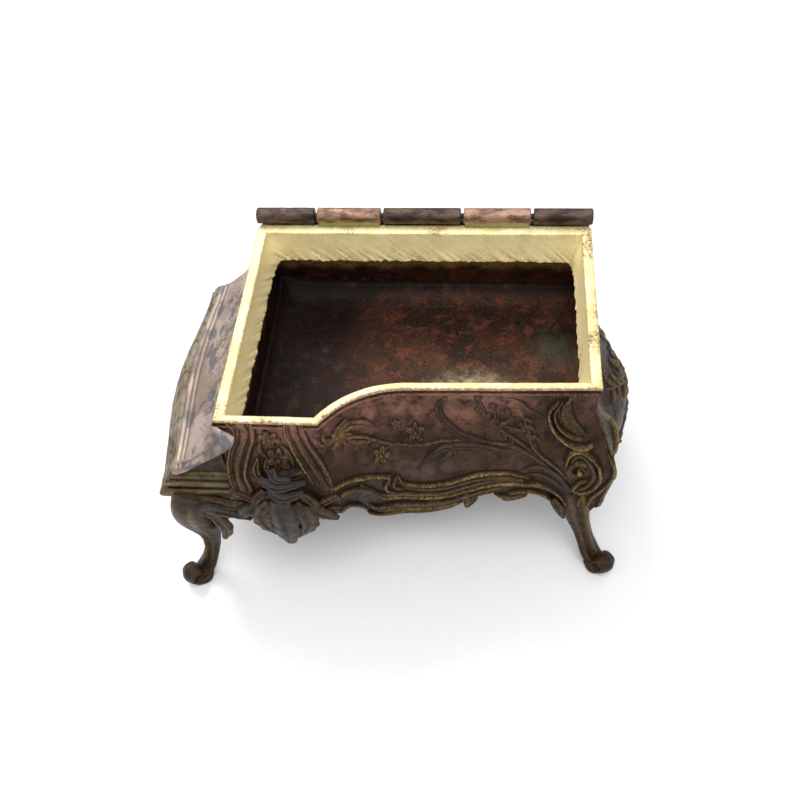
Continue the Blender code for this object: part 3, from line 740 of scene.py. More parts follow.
def cheek_relief(relief, at):
    """Two fluted bands and the rocaille cluster between them."""
    draw = relief.stroke
    left_band = (((3.2, 70.6), (4.6, 68.4), (4.1, 64.6), (2.0, 60.3), (0.9, 56), (0.9, 52), (1.6, 48.6)),
                 ((6.7, 70.6), (7.7, 68.2), (7.2, 64.6), (5.3, 60.6), (3.6, 57), (3.1, 53.2), (4.0, 48.6)),
                 ((9.7, 70.6), (10.0, 67.8), (9.0, 63.6), (7.3, 60), (5.7, 56), (5.0, 53), (6.0, 48.8)))
    right_band = (((18.6, 70.8), (18.5, 67), (19, 62.4), (19.8, 58.6), (21, 55), (22.4, 51.6)),
                  ((20.9, 70.8), (20.8, 67), (21.4, 63), (22.5, 59), (23.9, 55), (25, 51.6)),
                  ((23.4, 70.8), (23.4, 66.8), (24.1, 62.6), (25.4, 58.8), (26.6, 54.6), (27.2, 51)))
    for band, gilt_side in ((left_band, 2), (right_band, 0)):
        draw(at(*band[1]), 3.1, 0.75, ends=(0.8, 0.75))
        for inner, outer in ((band[0], band[1]), (band[1], band[2])):
            middle = [((a + c) / 2, (b + d) / 2) for (a, b), (c, d) in zip(inner, outer)]
            draw(at(*middle), 0.5, -0.4, ends=(0.7, 0.6))
        for number, line in enumerate(band):
            draw(at(*line), 0.45, 1.0, ends=(0.6, 0.5), gold=0.9 if number == gilt_side else 0.25)
    draw(at((0.6, 48.6), (4.4, 46.4), (8, 42.6), (10.4, 39.6)), 1.9, 1.3, "leaf", (0.5, 0.3), soot=0.3)
    draw(at((27.2, 47.8), (23.4, 44.8), (19.8, 41), (17, 38.4)), 1.6, 1.2, "leaf", (0.5, 0.3), gold=0.2)
    draw(at((0.4, 43.4), (4, 41.6), (8, 39)), 1.3, 1.0, "leaf", (0.5, 0.3))
    draw(at((27, 43), (23.6, 41), (20.6, 39)), 1.2, 1.0, "leaf", (0.5, 0.3))
    relief.flower(at((13.6, 64.8))[0], 2.3, 0.9, gold=0.25, petals=6)
    relief.flower(at((14.8, 58.0))[0], 2.6, 1.3, soot=0.3, petals=6, turn=0.8)
    draw(at((13.2, 54.2), (16.6, 53.6), (20.8, 54.6)), 1.5, 1.7, "leaf", (0.5, 0.2), soot=0.75)
    draw(at((12.0, 52.6), (14.6, 50.4), (18.2, 50.6)), 1.6, 1.7, "leaf", (0.5, 0.3), soot=0.6)
    draw(at((9.0, 57.4), (8.2, 54.6), (9.6, 51.6)), 1.3, 1.2, "leaf", (0.4, 0.3), gold=0.25)
    draw(at((11.6, 57.8), (11.2, 55.6), (12.4, 53.2)), 1.0, 1.2, "leaf", (0.4, 0.3), gold=0.15)
    draw(at((16.4, 62.2), (18.0, 59.2), (18.2, 56.0)), 0.8, 1.0, "leaf", (0.3, 0.3), gold=0.3)
    draw(at((10.6, 63.0), (10.2, 60.4), (11.4, 58.4)), 0.7, 0.8, "leaf", (0.3, 0.3), gold=0.3)
    for k in range(5):
        x = 8.6 + 2.3 * k
        draw(at((x, 48.6 - abs(k - 2) * 0.5), (12.9 + 0.35 * (x - 13), 43.0)), 1.0, 1.0, "leaf", (0.7, 0.4))


def tail_relief(relief):
    """Framed flower panel on the bowed tail; s runs from the back corner to the front corner."""
    draw = relief.stroke
    width = relief.s.max()
    middle = 0.56 * width
    for hand in (-1, 1):
        edge = middle + hand * 21
        draw([(middle + hand * 2, 66.4), (middle + hand * 12, 65.8), (edge - hand * 1.5, 62), (edge, 56),
              (edge - hand * 2.6, 50),
              (edge + hand * 0.2, 43), (edge - hand * 3.2, 37.4), (middle + hand * 8, 34.6),
              (middle + hand * 2, 33.6)],
             0.9, 1.2, ends=(0.5, 0.5), gold=0.55)
        relief.volute((edge - hand * 3.2, 60.4), 2.6, 1.2, math.pi / 2, 0.65, 1.3, gold=0.5, hand=hand)
        relief.volute((edge - hand * 4.2, 40.6), 2.4, 1.2, -math.pi / 2, 0.65, 1.3, gold=0.5, hand=-hand)
        relief.spray([(middle + hand * 1.5, 47), (middle + hand * 7, 51.5), (middle + hand * 13, 55.5)],
                     4.2, 7, 0.9, gold=0.35)
        relief.spray([(middle + hand * 1.5, 45), (middle + hand * 7, 42.4), (middle + hand * 12, 44.6)],
                     3.6, 5, 0.8, soot=0.4)
        relief.flower((middle + hand * 8.6, 58), 2.1, 0.9, gold=0.3, turn=0.4 * hand)
        draw([(edge + hand * 4, 70), (edge + hand * 5.2, 60), (edge + hand * 4, 52)], 0.7, 0.6, "leaf",
             (0.3, 0.3))
    relief.flower((middle, 50), 3.4, 1.3, gold=0.4, petals=6)
    relief.flower((middle, 61), 2.0, 0.9, gold=0.3)
    draw([(middle, 44.6), (middle + 0.6, 40), (middle, 36)], 0.7, 0.8, "leaf", (0.5, 0.2), gold=0.3)
    apron_lines(relief, soft([(k * width, v) for k, v in SIDE_EDGE], relief.s), 8)


def back_relief(relief):
    """Plainer spine side: the same apron lines and one leafy cartouche."""
    width = relief.s.max()
    middle = 0.5 * width
    for hand in (-1, 1):
        relief.volute((middle + hand * 13, 45), 3.0, 1.3, math.pi / 2, 0.7, 1.0, gold=0.35, hand=hand)
        relief.stroke([(middle + hand * 16, 45.6), (middle + hand * 24, 50), (middle + hand * 34, 46),
                       (middle + hand * 41, 40)],
                      0.9, 0.9, "leaf", (0.6, 0.2), gold=0.3)
        relief.spray([(middle + hand * 3, 44), (middle + hand * 8, 48), (middle + hand * 12, 51)], 3.4, 5,
                     0.8, gold=0.25)
    relief.flower((middle, 46), 3.2, 1.1, gold=0.35, petals=6)
    apron_lines(relief, soft([(k * width, v) for k, v in BACK_EDGE], relief.s), 7)


def apron_lines(relief, edge, depth):
    """Moulded lines that follow a side's bottom edge."""
    above = relief.h - edge
    for height, width, rise, gold in ((0.7, 0.9, 1.1, 0.3), (3.2, 0.8, 1.0, 0.45), (depth, 0.8, 0.9, 0.6)):
        lift = np.sqrt(np.clip(1 - ((above - height) / width) ** 2, 0, 1))
        relief.rise = np.maximum(relief.rise, rise * lift)
        relief.gold = np.maximum(relief.gold, gold * ease(lift, 0.3, 0.9))


def wall_points(rim, belly, h, rise, normal):
    """Plan points of the bombe wall at the given heights, moved out by rise."""
    bulge = soft(BELLY_PROFILE, h)[..., None]
    return rim[None] + bulge * (belly - rim)[None] + rise[..., None] * normal[None]


def build_case():
    """The bombe wall: chased outside, rough inside, with a rounded serpentine bottom edge."""
    counts = (130, 160, 330, 160, 140, 12)
    rows, inner_rows = 200, 24
    rim, belly, side, share = case_columns(counts)
    normal = outward(rim + 0.75 * (belly - rim))
    path = rim + 0.8 * (belly - rim)
    s = distances(path)
    edge = np.zeros(len(s))
    is_front = np.isin(side, ("front", "step", "cheek"))
    front_x = path[:, 0]
    edge[side == "back"] = soft(BACK_EDGE, share[side == "back"])
    edge[side == "tail"] = soft(SIDE_EDGE, share[side == "tail"])
    edge[is_front] = soft(FRONT_EDGE, front_x[is_front])
    cheek_part = is_front & (front_x < 26)
    edge[cheek_part] = 37.6
    edge[side == "left"] = 37.6
    top = RIM_TOP - 1.4
    t = np.linspace(0, 1, rows)[:, None]
    h = top + (edge[None, :] - top) * t
    rise = np.zeros(h.shape)
    masks = {key: np.zeros(h.shape) for key in MASKS}
    order = np.argsort(front_x[is_front])

    def s_at(x):
        return float(np.interp(x, front_x[is_front][order], s[is_front][order]))

    def fill(columns, draw, origin):
        relief = Relief(np.broadcast_to(s[columns] - origin, (rows, columns.sum())).copy(), h[:, columns])
        draw(relief)
        rise[:, columns] = relief.rise
        for key, values in relief.masks().items():
            masks[key][:, columns] = values

    fill(is_front, lambda relief: front_relief(relief, s_at), 0)
    fill(side == "tail", tail_relief, s[side == "tail"][0])
    fill(side == "back", back_relief, 0)
    # broad shaping: the apron band, a hollow neck beside the corners and the worn casting
    line = soft(FRONT_LINE, front_x)
    below = 1 - ease(h, line[None, :] - 1.0, line[None, :] + 0.2)
    apron = (is_front * ease(front_x, 26, 31))[None, :] * below
    rise += 0.55 * apron
    corner_s = s[side == "front"][0]
    close = np.exp(-((s[None, :] - corner_s) / 5.0) ** 2)
    rise -= 0.5 * close * np.exp(-((h - 61.5) / 3.2) ** 2)
    beside = (side == "tail")[None, :] * np.exp(-((s[None, :] - corner_s + 9.5) / 4.0) ** 2)
    rise -= 2.0 * beside * ease(h, 44, 56)
    back_close = np.exp(-((s[None, :] - s[side == "tail"][0]) / 5.0) ** 2)
    rise -= 0.4 * back_close * np.exp(-((h - 61.5) / 3.2) ** 2)
    rise += 0.10 * fractal(s[None, :], h, 5.0, 11) + 0.035 * fractal(s[None, :], h, 1.1, 21)
    rise = rise * (side != "left")[None, :] * ease(top - h, 0.0, 0.8) - 0.25
    lip = 1 - ease(h, edge[None, :], edge[None, :] + 0.7)
    rise = np.maximum(rise - 0.5 * lip ** 2, -0.75)
    outer = np.dstack([wall_points(rim, belly, h, rise, normal), h])
    # inner wall: thin behind the liner, then hollowed after the belly
    ti = np.linspace(1, 0, inner_rows)[:, None]
    hi = top + (edge[None, :] - top) * ti
    thin = np.where(is_front, 1.0, 1.3)[None, :]
    inset = thin + (WALL - thin) * (1 - ease(hi, 56, 61.9))
    inset = inset + 0.3 * close + 0.3 * back_close
    rough = 0.25 * fractal(s[None, :], hi, 3.0, 31) * (1 - ease(hi, 58, 61))
    inner = np.dstack([mitred(wall_points(rim, belly, hi, -(inset + rough), normal), side), hi])
    points = np.concatenate([outer, inner]).reshape(-1, 3)
    total = rows + inner_rows
    faces = grid_faces(total, len(s), wrap_rows=True, wrap_columns=True)
    inside = np.repeat(np.arange(total) >= rows - 1, len(s))
    # painted highlight: the top band of the wall is lighter and rosier, fully on the front, a third as much
    # on the other sides, none on the apron, fading towards the right corner
    highlight_weight = np.where(is_front, 1.0, 0.35)[None, :]
    rosy = np.clip(ease(h, 54, 69) * 0.95 + 0.06, 0, 1) * highlight_weight * (1 - apron)
    rosy *= 1 - 0.8 * ease(np.broadcast_to(front_x, h.shape), 74, 84)
    masks["rosy"] = rosy
    masks["drips"] = np.zeros(h.shape)
    full = {key: np.concatenate([values, np.zeros(hi.shape)]) for key, values in masks.items()}
    # painted shade on the inner faces of the left end, the cheek and the step below the liner
    painted_shade = np.isin(side, ("left", "cheek", "step"))[None, :] * (1 - ease(hi, 58, 62))
    full["painted_shade"] = np.concatenate([np.zeros(h.shape), 0.9 * painted_shade])
    reach = 55.5 + 2.6 * fractal(s[None, :], 0.0, 3.4, 41)
    full["drips"][rows:] = ease(hi, reach - 1.5, reach + 3.0)
    mesh_piece("chased_case", points, faces, [BODY, INTERIOR], "case", ("case_shell",),
               full, inside)


def rim_path(counts, front, right, back, left):
    """Rim outline moved inwards by the given amounts, with as many columns as the case."""
    rim, _, side, _ = case_columns(counts)
    normal = outward(rim)
    out = rim.copy()
    centre = np.array([STEP_X, STEP_CENTRE])
    step = side == "step"
    rel = rim[step] - centre
    grow = np.array([(STEP_ALONG + front) / STEP_ALONG, (STEP_ACROSS + front) / STEP_ACROSS])
    out[step] = centre + rel * grow
    out[side == "front", 1] += front
    out[side == "cheek", 1] = -CHEEK + front
    cheek_x = rim[side == "cheek", 0]
    corner = out[step][-1, 0]
    out[side == "cheek", 0] = left + (corner - left) * cheek_x / cheek_x[0]
    out[side == "back", 1] = -back
    out[side == "tail", 0] = LENGTH - right
    out[side == "left", 0] = left
    out[:, 0] = np.clip(out[:, 0], left, LENGTH - right)
    out[:, 1] = np.clip(out[:, 1], -CHEEK + front, -back)
    return out, side, normal


def build_collar():
    """Gilt rim with a rolled outer edge and a liner that was chiselled by hand."""
    counts = (200, 120, 110, 80, 60, 140)
    top, under = RIM_TOP, RIM_TOP - 1.2
    sections = [(1.6, 1.3, under), (0.25, 0.25, under), (0.0, 0.0, under + 0.25), (0.0, 0.0, top - 0.25),
                (0.12, 0.12, top - 0.06),
                (0.35, 0.35, top), (1.2, 0.8, top + 0.02), (2.2, 1.4, top), (2.55, 1.68, top - 0.06),
                (2.7, 1.8, top - 0.25)]
    deep = 26
    for k in range(1, deep + 1):
        lean = (k / deep) ** 1.3
        sections.append((2.7 + 1.5 * lean, 1.8 + 0.3 * lean, top - 0.25 - LINER_DEPTH * k / deep))
    sections += [(3.6, 1.9, top - 9.25), (1.6, 1.3, top - 9.2)]
    rows = []
    worn, inner, pink = [], [], []
    for number, (sides_in, front_in, h) in enumerate(sections):
        outline, side, normal = rim_path(counts, front_in, sides_in, sides_in, sides_in)
        s = np.arange(len(outline)) * 0.5
        height = np.full(len(s), float(h))
        depth = (top - h) / 10
        shift = np.zeros(len(s))
        stain = 0.1 + 0.5 * ease(depth, 0.7, 1.05)
        if 10 <= number < 10 + deep:
            slant = grain(s + h * 1.3, s * 0.10 - h * 0.05, 0.85, 51)
            stain = stain + 0.6 * np.clip(slant, 0, 1) * ease(depth, 0.35, 0.75)
            shift = (0.04 + 0.24 * ease(depth, 0.45, 0.9)) * slant + 0.10 * fractal(s, height, 4, 61)
        ragged = 0.55 * fractal(s, 0.0, 2.2, 71) + 0.25 * fractal(s, 0.0, 0.8, 76)
        height += ragged * ease(depth, 0.7, 0.98)
        if 3 <= number <= 9:
            height += 0.05 * fractal(s, number, 6, 81)
            shift = 0.06 * fractal(s, number, 3, 91)
        for corner in ((0, 0), (LENGTH, 0), (LENGTH, -TAIL)):
            near = np.hypot(outline[:, 0] - corner[0], outline[:, 1] - corner[1])
            pull = 2.4 * ease(depth, 0.05, 0.9) * np.exp(-np.maximum(near - 4, 0) / 3.0) * (number >= 10)
            toward = np.array([46.0, -27.0]) - np.array(corner, float)
            outline = outline + pull[:, None] * toward / np.hypot(*toward)
        rows.append(np.column_stack([outline + shift[:, None] * normal, height]))
        patch = ease(fractal(s, number * 0.3, 9, 95), 0.05, 0.5)
        edge_wear = 0.45 * (number in (3, 4, 5, 8, 9))
        rubbed = ((0.7 + 0.3 * (side == "tail")) * patch + edge_wear) * (3 <= number <= 9)
        worn.append(np.where(number >= 10, stain, rubbed))
        inner.append(np.full(len(s), 1.0 * (number >= 10)) * (0.55 + 0.45 * (side != "back")))
        pink.append(np.full(len(s), 1.0 * (1 <= number <= 3)))
    rows = np.array(rows)
    masks = {"worn": np.array(worn), "inner": np.array(inner), "pink": np.array(pink)}
    faces = grid_faces(len(rows), rows.shape[1], wrap_rows=True, wrap_columns=True)
    mesh_piece("gilt_rim", rows.reshape(-1, 3), faces, [GILT], "case", ("rim_collar",), masks,
               sharp=50)


def build_floor():
    """Compartment floor, uneven and dished up where it meets the wall."""
    counts = (90, 60, 70, 50, 30, 60)
    rim, belly, side, _ = case_columns(counts)
    normal = outward(rim + 0.9 * (belly - rim))
    share = float(soft(BELLY_PROFILE, FLOOR))
    outline = mitred(rim + share * (belly - rim) - (WALL + 0.15) * normal, side)
    spine = np.column_stack([np.clip(outline[:, 0], 22, 72), np.full(len(outline), -30.0)])
    left, near_y = outline.min(0)
    right, far_y = outline.max(0)
    under = np.full(len(outline), FLOOR - 1.3)
    rows = [np.column_stack([spine, under]), np.column_stack([outline, under])]
    masks = {key: [np.zeros(len(outline))] * 2 for key in ("verdigris", "scraped", "drips", "painted_shade")}
    for k in range(61):
        xy = outline + (spine - outline) * (k / 60) ** 0.85
        x, y = xy.T
        front = near_y + 11.5 * ease(x, 24, 44)
        near = sum(np.exp(-np.maximum(d, 0) / 2.6) for d in (x - left, right - x, y - front, far_y - y))
        h = FLOOR + 6.5 * np.clip(near, 0, 1.3) ** 1.2
        h = h + 0.16 * fractal(x, y, 5, 101) + 0.07 * fractal(x, y, 1.2, 111)
        rows.append(np.column_stack([xy, h]))
        masks["verdigris"].append(np.exp(-((x - 84) / 6) ** 2 - ((y + 18) / 7) ** 2))
        masks["scraped"].append(np.clip(1.8 * np.exp(-((x - 61) / 9) ** 2 - ((y + 34) / 5) ** 2), 0, 1))
        masks["drips"].append(np.zeros(len(x)))
        # painted shade: darker at the left end, towards the near left corner and along the walls
        soot = 1.15 - ease(x, 16, 40) + 0.6 * ease(-y, 44, 60) * (x < 45) + 0.8 * ease(near, 0.1, 0.5)
        masks["painted_shade"].append(np.clip(soot, 0, 1))
    rows = np.array(rows)
    faces = grid_faces(len(rows), rows.shape[1], wrap_columns=True)
    mesh_piece("compartment_floor", rows.reshape(-1, 3), faces, [INTERIOR], "case",
               ("floor_plate",),
               {key: np.array(values) for key, values in masks.items()}, merge=True)


# ---------------------------------------------------------------- keyboard end

COVER_PROFILE = ((-0.4, 70.5), (-0.7, 68.4), (-1.3, 66.0), (-2.8, 62.6), (-5.4, 59.0), (-8.8, 55.9),
                 (-11.7, 53.6), (-14.4, 52.1))
BED_NEAR, BED_FAR, BED_OUT, BED_SERPENTINE = -70.5, 1.2, 20.3, 3.3


def serpentine(y):
    """How far the key-bed's left edge swells out at y."""
    return BED_SERPENTINE * np.sin(math.pi * np.clip((y - BED_NEAR) / (BED_FAR - BED_NEAR), 0, 1)) ** 2


def build_cover():
    """Concave keyboard cover with a chased garland, its near end drawn out into a lip."""
    line = catmull(COVER_PROFILE, 12)
    length = distances(line)
    count = 78
    across = np.linspace(0, length[-1], count)
    profile = np.column_stack([np.interp(across, length, line[:, 0]),
                               np.interp(across, length, line[:, 1])])
    along = np.gradient(profile, axis=0)
    along /= np.hypot(*along.T)[:, None]
    normal = np.column_stack([-along[:, 1], along[:, 0]])
    normal *= np.sign(-normal[:, :1] + 1e-9)
    y = np.concatenate([np.linspace(-69.4, -66.0, 30)[:-1], np.linspace(-66.0, -4.8, 200)])
    relief = Relief(np.broadcast_to(y[:, None], (len(y), count)).copy(),
                    np.broadcast_to(across, (len(y), count)).copy())
    reach = across[-1]
    for k, centre in enumerate(np.arange(-62, -8, 9.0)):
        hand = 1 if k % 2 else -1
        middle = 0.52 * reach + hand * 1.2
        relief.flower((centre, middle), 1.7, 0.45, soot=0.35 if k % 3 == 1 else 0.0, petals=6, turn=0.5 * k)
        relief.spray([(centre + 1.4, middle), (centre + 4.5, middle + hand * 2.2), (centre + 7.6, middle)],
                     2.6, 5, 0.38)
        relief.spray([(centre + 1.0, middle + 1), (centre + 3.5, middle - hand * 3.4),
                      (centre + 6.6, middle - hand * 2.0)], 2.0, 3, 0.3)
    for offset, rise in ((0.9, 0.5), (2.5, 0.35)):
        relief.stroke([(-68.4, reach - offset), (-36, reach - offset), (-4.8, reach - offset)], 0.55, rise,
                      ends=(1, 1))
    relief.stroke([(-66.9, 4), (-67.0, 11), (-66.9, reach - 1)], 0.7, 0.5, ends=(1, 1))
    rise = relief.rise + 0.08 * fractal(relief.s, relief.h, 6, 121)
    masks = relief.masks()
    stretch = 1 + serpentine(y)[:, None] / BED_OUT
    high = 1 - ease(across, 3, 17)
    curl = ease(-y, 66.9, 69.2)[:, None]
    x = profile[None, :, 0] * stretch + rise * normal[None, :, 0] + 4.6 * curl * high[None, :] ** 1.3
    droop = 0.7 * curl * high[None, :] + 1.5 * curl * (1 - ease(across, 0, 4))[None, :]
    h = profile[None, :, 1] + rise * normal[None, :, 1] - droop
    reach_y = y[:, None] - 0.5 * curl * high[None, :]
    outer = np.dstack([x, reach_y, h])
    under = profile[None, :, 0] * stretch - 1.1 * normal[None, :, 0]
    under = np.where(curl > 0.02, under + 4.3 * curl * high[None, :] ** 1.3, np.minimum(under, -0.35))
    inner = np.dstack([under, reach_y + 0.9 * curl * high[None, :],
                       profile[None, :, 1] - 1.1 * normal[None, :, 1] - droop])
    loop = np.concatenate([outer, inner[:, ::-1]], 1)
    points, faces = tube_mesh(loop)
    mesh_piece("chased_cover", points, faces, [COVER], "case", ("keyboard_cover",),
               backed(masks), sharp=60)


def build_keybed():
    """Stepped moulding of three rolls round the keyboard end's free sides."""
    rolls = []
    for centre_in, centre_h, radius in ((0.9, 43.0, 1.9), (2.7, 46.6, 1.35), (4.3, 49.2, 1.0)):
        for angle in np.linspace(-70, 110, 12):
            rolls.append((centre_in + radius * (1 - math.cos(math.radians(angle))) - radius * 0.4,
                          centre_h + radius * math.sin(math.radians(angle))))
    profile = [(2.4, 40.9)] + rolls + [(6.2, 50.5)]
    near_share, far_share = 0.38, 0.85
    sections = []
    for inset, h in profile:
        near, far = BED_NEAR + inset * near_share, BED_FAR - inset * far_share
        y = np.linspace(near, far, 130)
        left = np.column_stack([-BED_OUT - serpentine(y) + inset, y])
        front = np.column_stack([np.linspace(-0.4, left[0, 0], 50)[:-1], np.full(49, near)])
        back = np.column_stack([np.linspace(left[-1, 0], -0.4, 50)[1:], np.full(49, far)])
        outline = np.vstack([front, left, back])
        s = np.arange(len(outline)) * 0.55
        wobble = 0.12 * fractal(s, h, 2.4, 131)
        sections.append(np.column_stack([outline + wobble[:, None] * np.array([[1, 0.3]]),
                                         np.full(len(outline), h)]))
    sections = np.array(sections)
    points, faces = tube_mesh(sections)
    heights = np.array([h for _, h in profile])
    insets = np.array([inset for inset, _ in profile])
    crest = np.clip(-np.gradient(np.gradient(insets)) * -6, 0, 1)
    crest = np.outer(crest, np.ones(sections.shape[1]))
    line = 0.9 * np.exp(-((heights - 46.9) / 0.5) ** 2)[:, None]
    masks = coat(crest, recess=np.clip(1 - crest * 3, 0, 1) * 0.5,
                 gold=line * ease(-sections[..., 1], 64, 69),
                 rosy=np.clip(0.15 + ease(sections[..., 1], -69.5, -64), 0, 1))
    mesh_piece("rolled_keybed", points, faces, [BED], "case", ("keybed",), masks, sharp=60)


# ---------------------------------------------------------------- legs and mounts

def build_leg(name, node, base, direction, stations, seed, ear_height):
    """Cabriole leg swept along its S curve into a scroll foot; stations are out, height, depth, width."""
    path = catmull(stations, 9)
    sides = 56
    angle = np.linspace(0, 2 * math.pi, sides, endpoint=False)
    direction = np.array(direction) / np.hypot(*direction)
    across = np.array([-direction[1], direction[0]])
    along = np.gradient(path[:, :2], axis=0)
    along /= np.hypot(*along.T)[:, None]
    rings, crest = [], []
    length = distances(path[:, :2])
    for i, (out, h, depth, width) in enumerate(path):
        front = np.array([-along[i][1], along[i][0]])
        flutes = 0.5 + 0.5 * np.cos(7 * angle)
        face = np.clip(np.cos(angle), 0, 1) ** 0.5
        shown = float(ease(length[i], 1, 6) * (1 - ease(length[i], 34, 42)))
        groove = 0.26 * flutes * face * shown
        ridge = 0.45 * np.exp(-(turned(angle) / 0.16) ** 2) * shown
        ear = 0
        for size, lift, tall, turn in ((1.5, 0, 1.5, 1.75), (0.8, 4.5, 1.6, 1.6)):
            near = size * math.exp(-((h - ear_height - lift) / tall) ** 2) * (out < 4)
            ear = ear + near * np.exp(-((np.abs(turned(angle)) - turn) / 0.5) ** 2)
        rough = 0.1 * fractal(angle * width, length[i], 1.6, seed)
        square = 1 + 0.07 * np.cos(4 * angle)
        reach_d = (depth * square + groove + ridge + rough) * np.cos(angle)
        reach_w = (width * square + groove + ear + rough) * np.sin(angle)
        plan_out = out + reach_d * front[0]
        height = h + reach_d * front[1]
        xy = np.array(base) + plan_out[:, None] * direction + reach_w[:, None] * across
        rings.append(np.column_stack([xy, np.maximum(height, 0.02)]))
        crest.append(np.clip(flutes * face * shown * 1.4 - 0.5, 0, 1) + ridge)
    points, faces = tube_mesh(rings)
    crest = np.clip(np.array(crest), 0, 1)
    # brass on the flute ridges, partly as painted highlight
    masks = coat(crest, recess=np.clip(0.6 - crest * 2, 0, 1) * 0.6, gold=crest * 0.5, rosy=0.12)
    mesh_piece(name, points, faces, [BRONZE], "case", (node,), masks)
    foot = stations[-2][0] - 0.2
    build_pad(name + "_pad", np.array(base) + direction * foot, seed)


def build_pad(name, centre, seed):
    """Moulded pad under the scroll, with a bead round it."""
    sides = 48
    angle = np.linspace(0, 2 * math.pi, sides, endpoint=False)
    rings = []
    for radius, h in ((3.1, 0.0), (3.5, 0.25), (3.65, 0.7), (3.5, 1.15), (3.1, 1.3), (3.2, 1.6), (3.1, 2.1),
                      (2.6, 2.8), (1.7, 3.2)):
        r = radius * (1 + 0.03 * np.cos(5 * angle + seed))
        rings.append(np.column_stack([centre[0] + r * np.cos(angle), centre[1] + r * np.sin(angle),
                                      np.full(sides, h)]))
    points, faces = tube_mesh(rings)
    crest = np.outer((0.2, 0.6, 0.9, 0.6, 0, 0.5, 0.5, 0.1, 0), np.ones(sides))
    recess = np.outer((0, 0, 0, 0.3, 1, 0.3, 0, 0, 0), np.ones(sides))
    mesh_piece(name, points, faces, [BRONZE], "case", (),
               coat(crest, recess=recess, gold=crest * 0.4))


def foot_scroll(out, height):
    """Stations of the toe that rolls up and back over itself round the given centre."""
    stations = []
    for share in np.linspace(0, 1, 11):
        turn = math.radians(-80 + 285 * share)
        radius = 2.1 - 0.55 * share
        stations.append((out + radius * math.cos(turn), height + radius * math.sin(turn),
                         1.45 - 0.6 * share, 2.85 - 0.4 * share))
    return stations


def build_legs():
    """Four legs; the two ends of the box have legs of their own kind."""
    left = ((-0.6, 42.5, 5.0, 5.6), (0.9, 37, 5.4, 5.8), (1.3, 32, 5.0, 5.2), (0.7, 26, 4.0, 4.3),
            (0.0, 20, 2.9, 3.3),
            (0.3, 14.5, 2.3, 2.6), (1.7, 9.6, 2.0, 2.5), (4.4, 4.8, 1.8, 2.9), (7.0, 2.7, 1.6, 2.8),
            *foot_scroll(9.9, 4.3))
    right = ((-4.5, 37, 2.2, 3.0), (-2.6, 31, 3.0, 4.2), (-0.8, 25.5, 3.6, 4.8), (0.8, 19.5, 3.3, 4.0),
             (2.8, 14, 2.4, 2.9), (4.8, 9.4, 2.0, 2.7), (7.2, 4.9, 1.7, 3.0), (9.6, 2.7, 1.5, 2.8),
             *foot_scroll(12.4, 4.2))
    spots = (("leg_front_left", (-12.8, -67.3), (-1, -1), left, 27.5),
             ("leg_back_left", (-12.8, 0.7), (-1, 1), left, 27.5),
             ("leg_front_right", (90.1, -56.9), (0.72, -0.69), right, 25.0),
             ("leg_back_right", (90.1, 2.4), (0.72, 0.69), right, 25.0))
    for number, (node, base, direction, stations, ear) in enumerate(spots):
        build_leg(node.replace("leg_", "scroll_leg_"), node, base, direction, stations, 141 + 7 * number,
                  ear)


def build_cheek_mount():
    """Shell pendant: ribs fan out from its tip, with a scalloped edge."""
    columns, rows = 90, 70
    u = np.linspace(-1, 1, columns)[None, :]
    v = np.linspace(0, 1, rows)[:, None]
    half = soft(((0, 3.0), (0.12, 6.4), (0.28, 8.8), (0.42, 8.9), (0.55, 7.0), (0.68, 5.8), (0.8, 4.6),
                 (0.92, 3.0), (1, 1.0)), v)
    scallop = 1 + 0.05 * np.cos(v * 34)
    x = 13.2 + u * half * scallop
    h = 49.5 - 23.5 * v - 0.8 * (u ** 2)
    relief = Relief(x, h)
    for k in range(9):
        lean = (k - 4) / 4
        relief.stroke([(13.2 + lean * 1.0, 29.5), (13.2 + lean * 4.6, 37),
                       (13.2 + lean * 8.0, 45.6 - 1.6 * abs(lean))], 0.95, 1.0,
                      "leaf", (0.4, 0.6), gold=0.15)
    relief.flower((13.4, 47.0), 2.4, 1.4, petals=6)
    relief.stroke([(13.2, 34), (13.2, 30), (13.2, 26.6)], 2.0, 1.2, "leaf", (0.7, 0.4))
    for hand in (-1, 1):
        relief.volute((13.2 + hand * 6.4, 41.0), 2.1, 1.2, 0.5, 0.6, 1.1, hand=hand)
        relief.stroke([(13.2 + hand * 2, 32), (13.2 + hand * 4.6, 34.6), (13.2 + hand * 6.6, 38)], 1.0, 1.0,
                      "leaf", (0.3, 0.3))
    dome = np.sqrt(np.clip(1 - u ** 2, 0, 1)) * np.sqrt(np.clip(np.sin(math.pi * (0.08 + 0.88 * v)), 0, 1))
    front = -CHEEK - 6.1 - 0.8 * dome - relief.rise * ease(dome, 0.05, 0.5) * 0.75
    outer = np.dstack([x, front, h])
    inner = np.dstack([x, np.minimum(-CHEEK - 5.2, front + 1.5), h])
    loop = np.concatenate([outer, inner[:, ::-1]], 1)
    points, faces = tube_mesh(loop)
    full = backed(relief.masks())
    full["rosy"] = np.full(loop.shape[:2], 0.1)
    mesh_piece("shell_mount", points, faces, [MOUNT], "case", ("cheek_mount",), full,
               sharp=70)


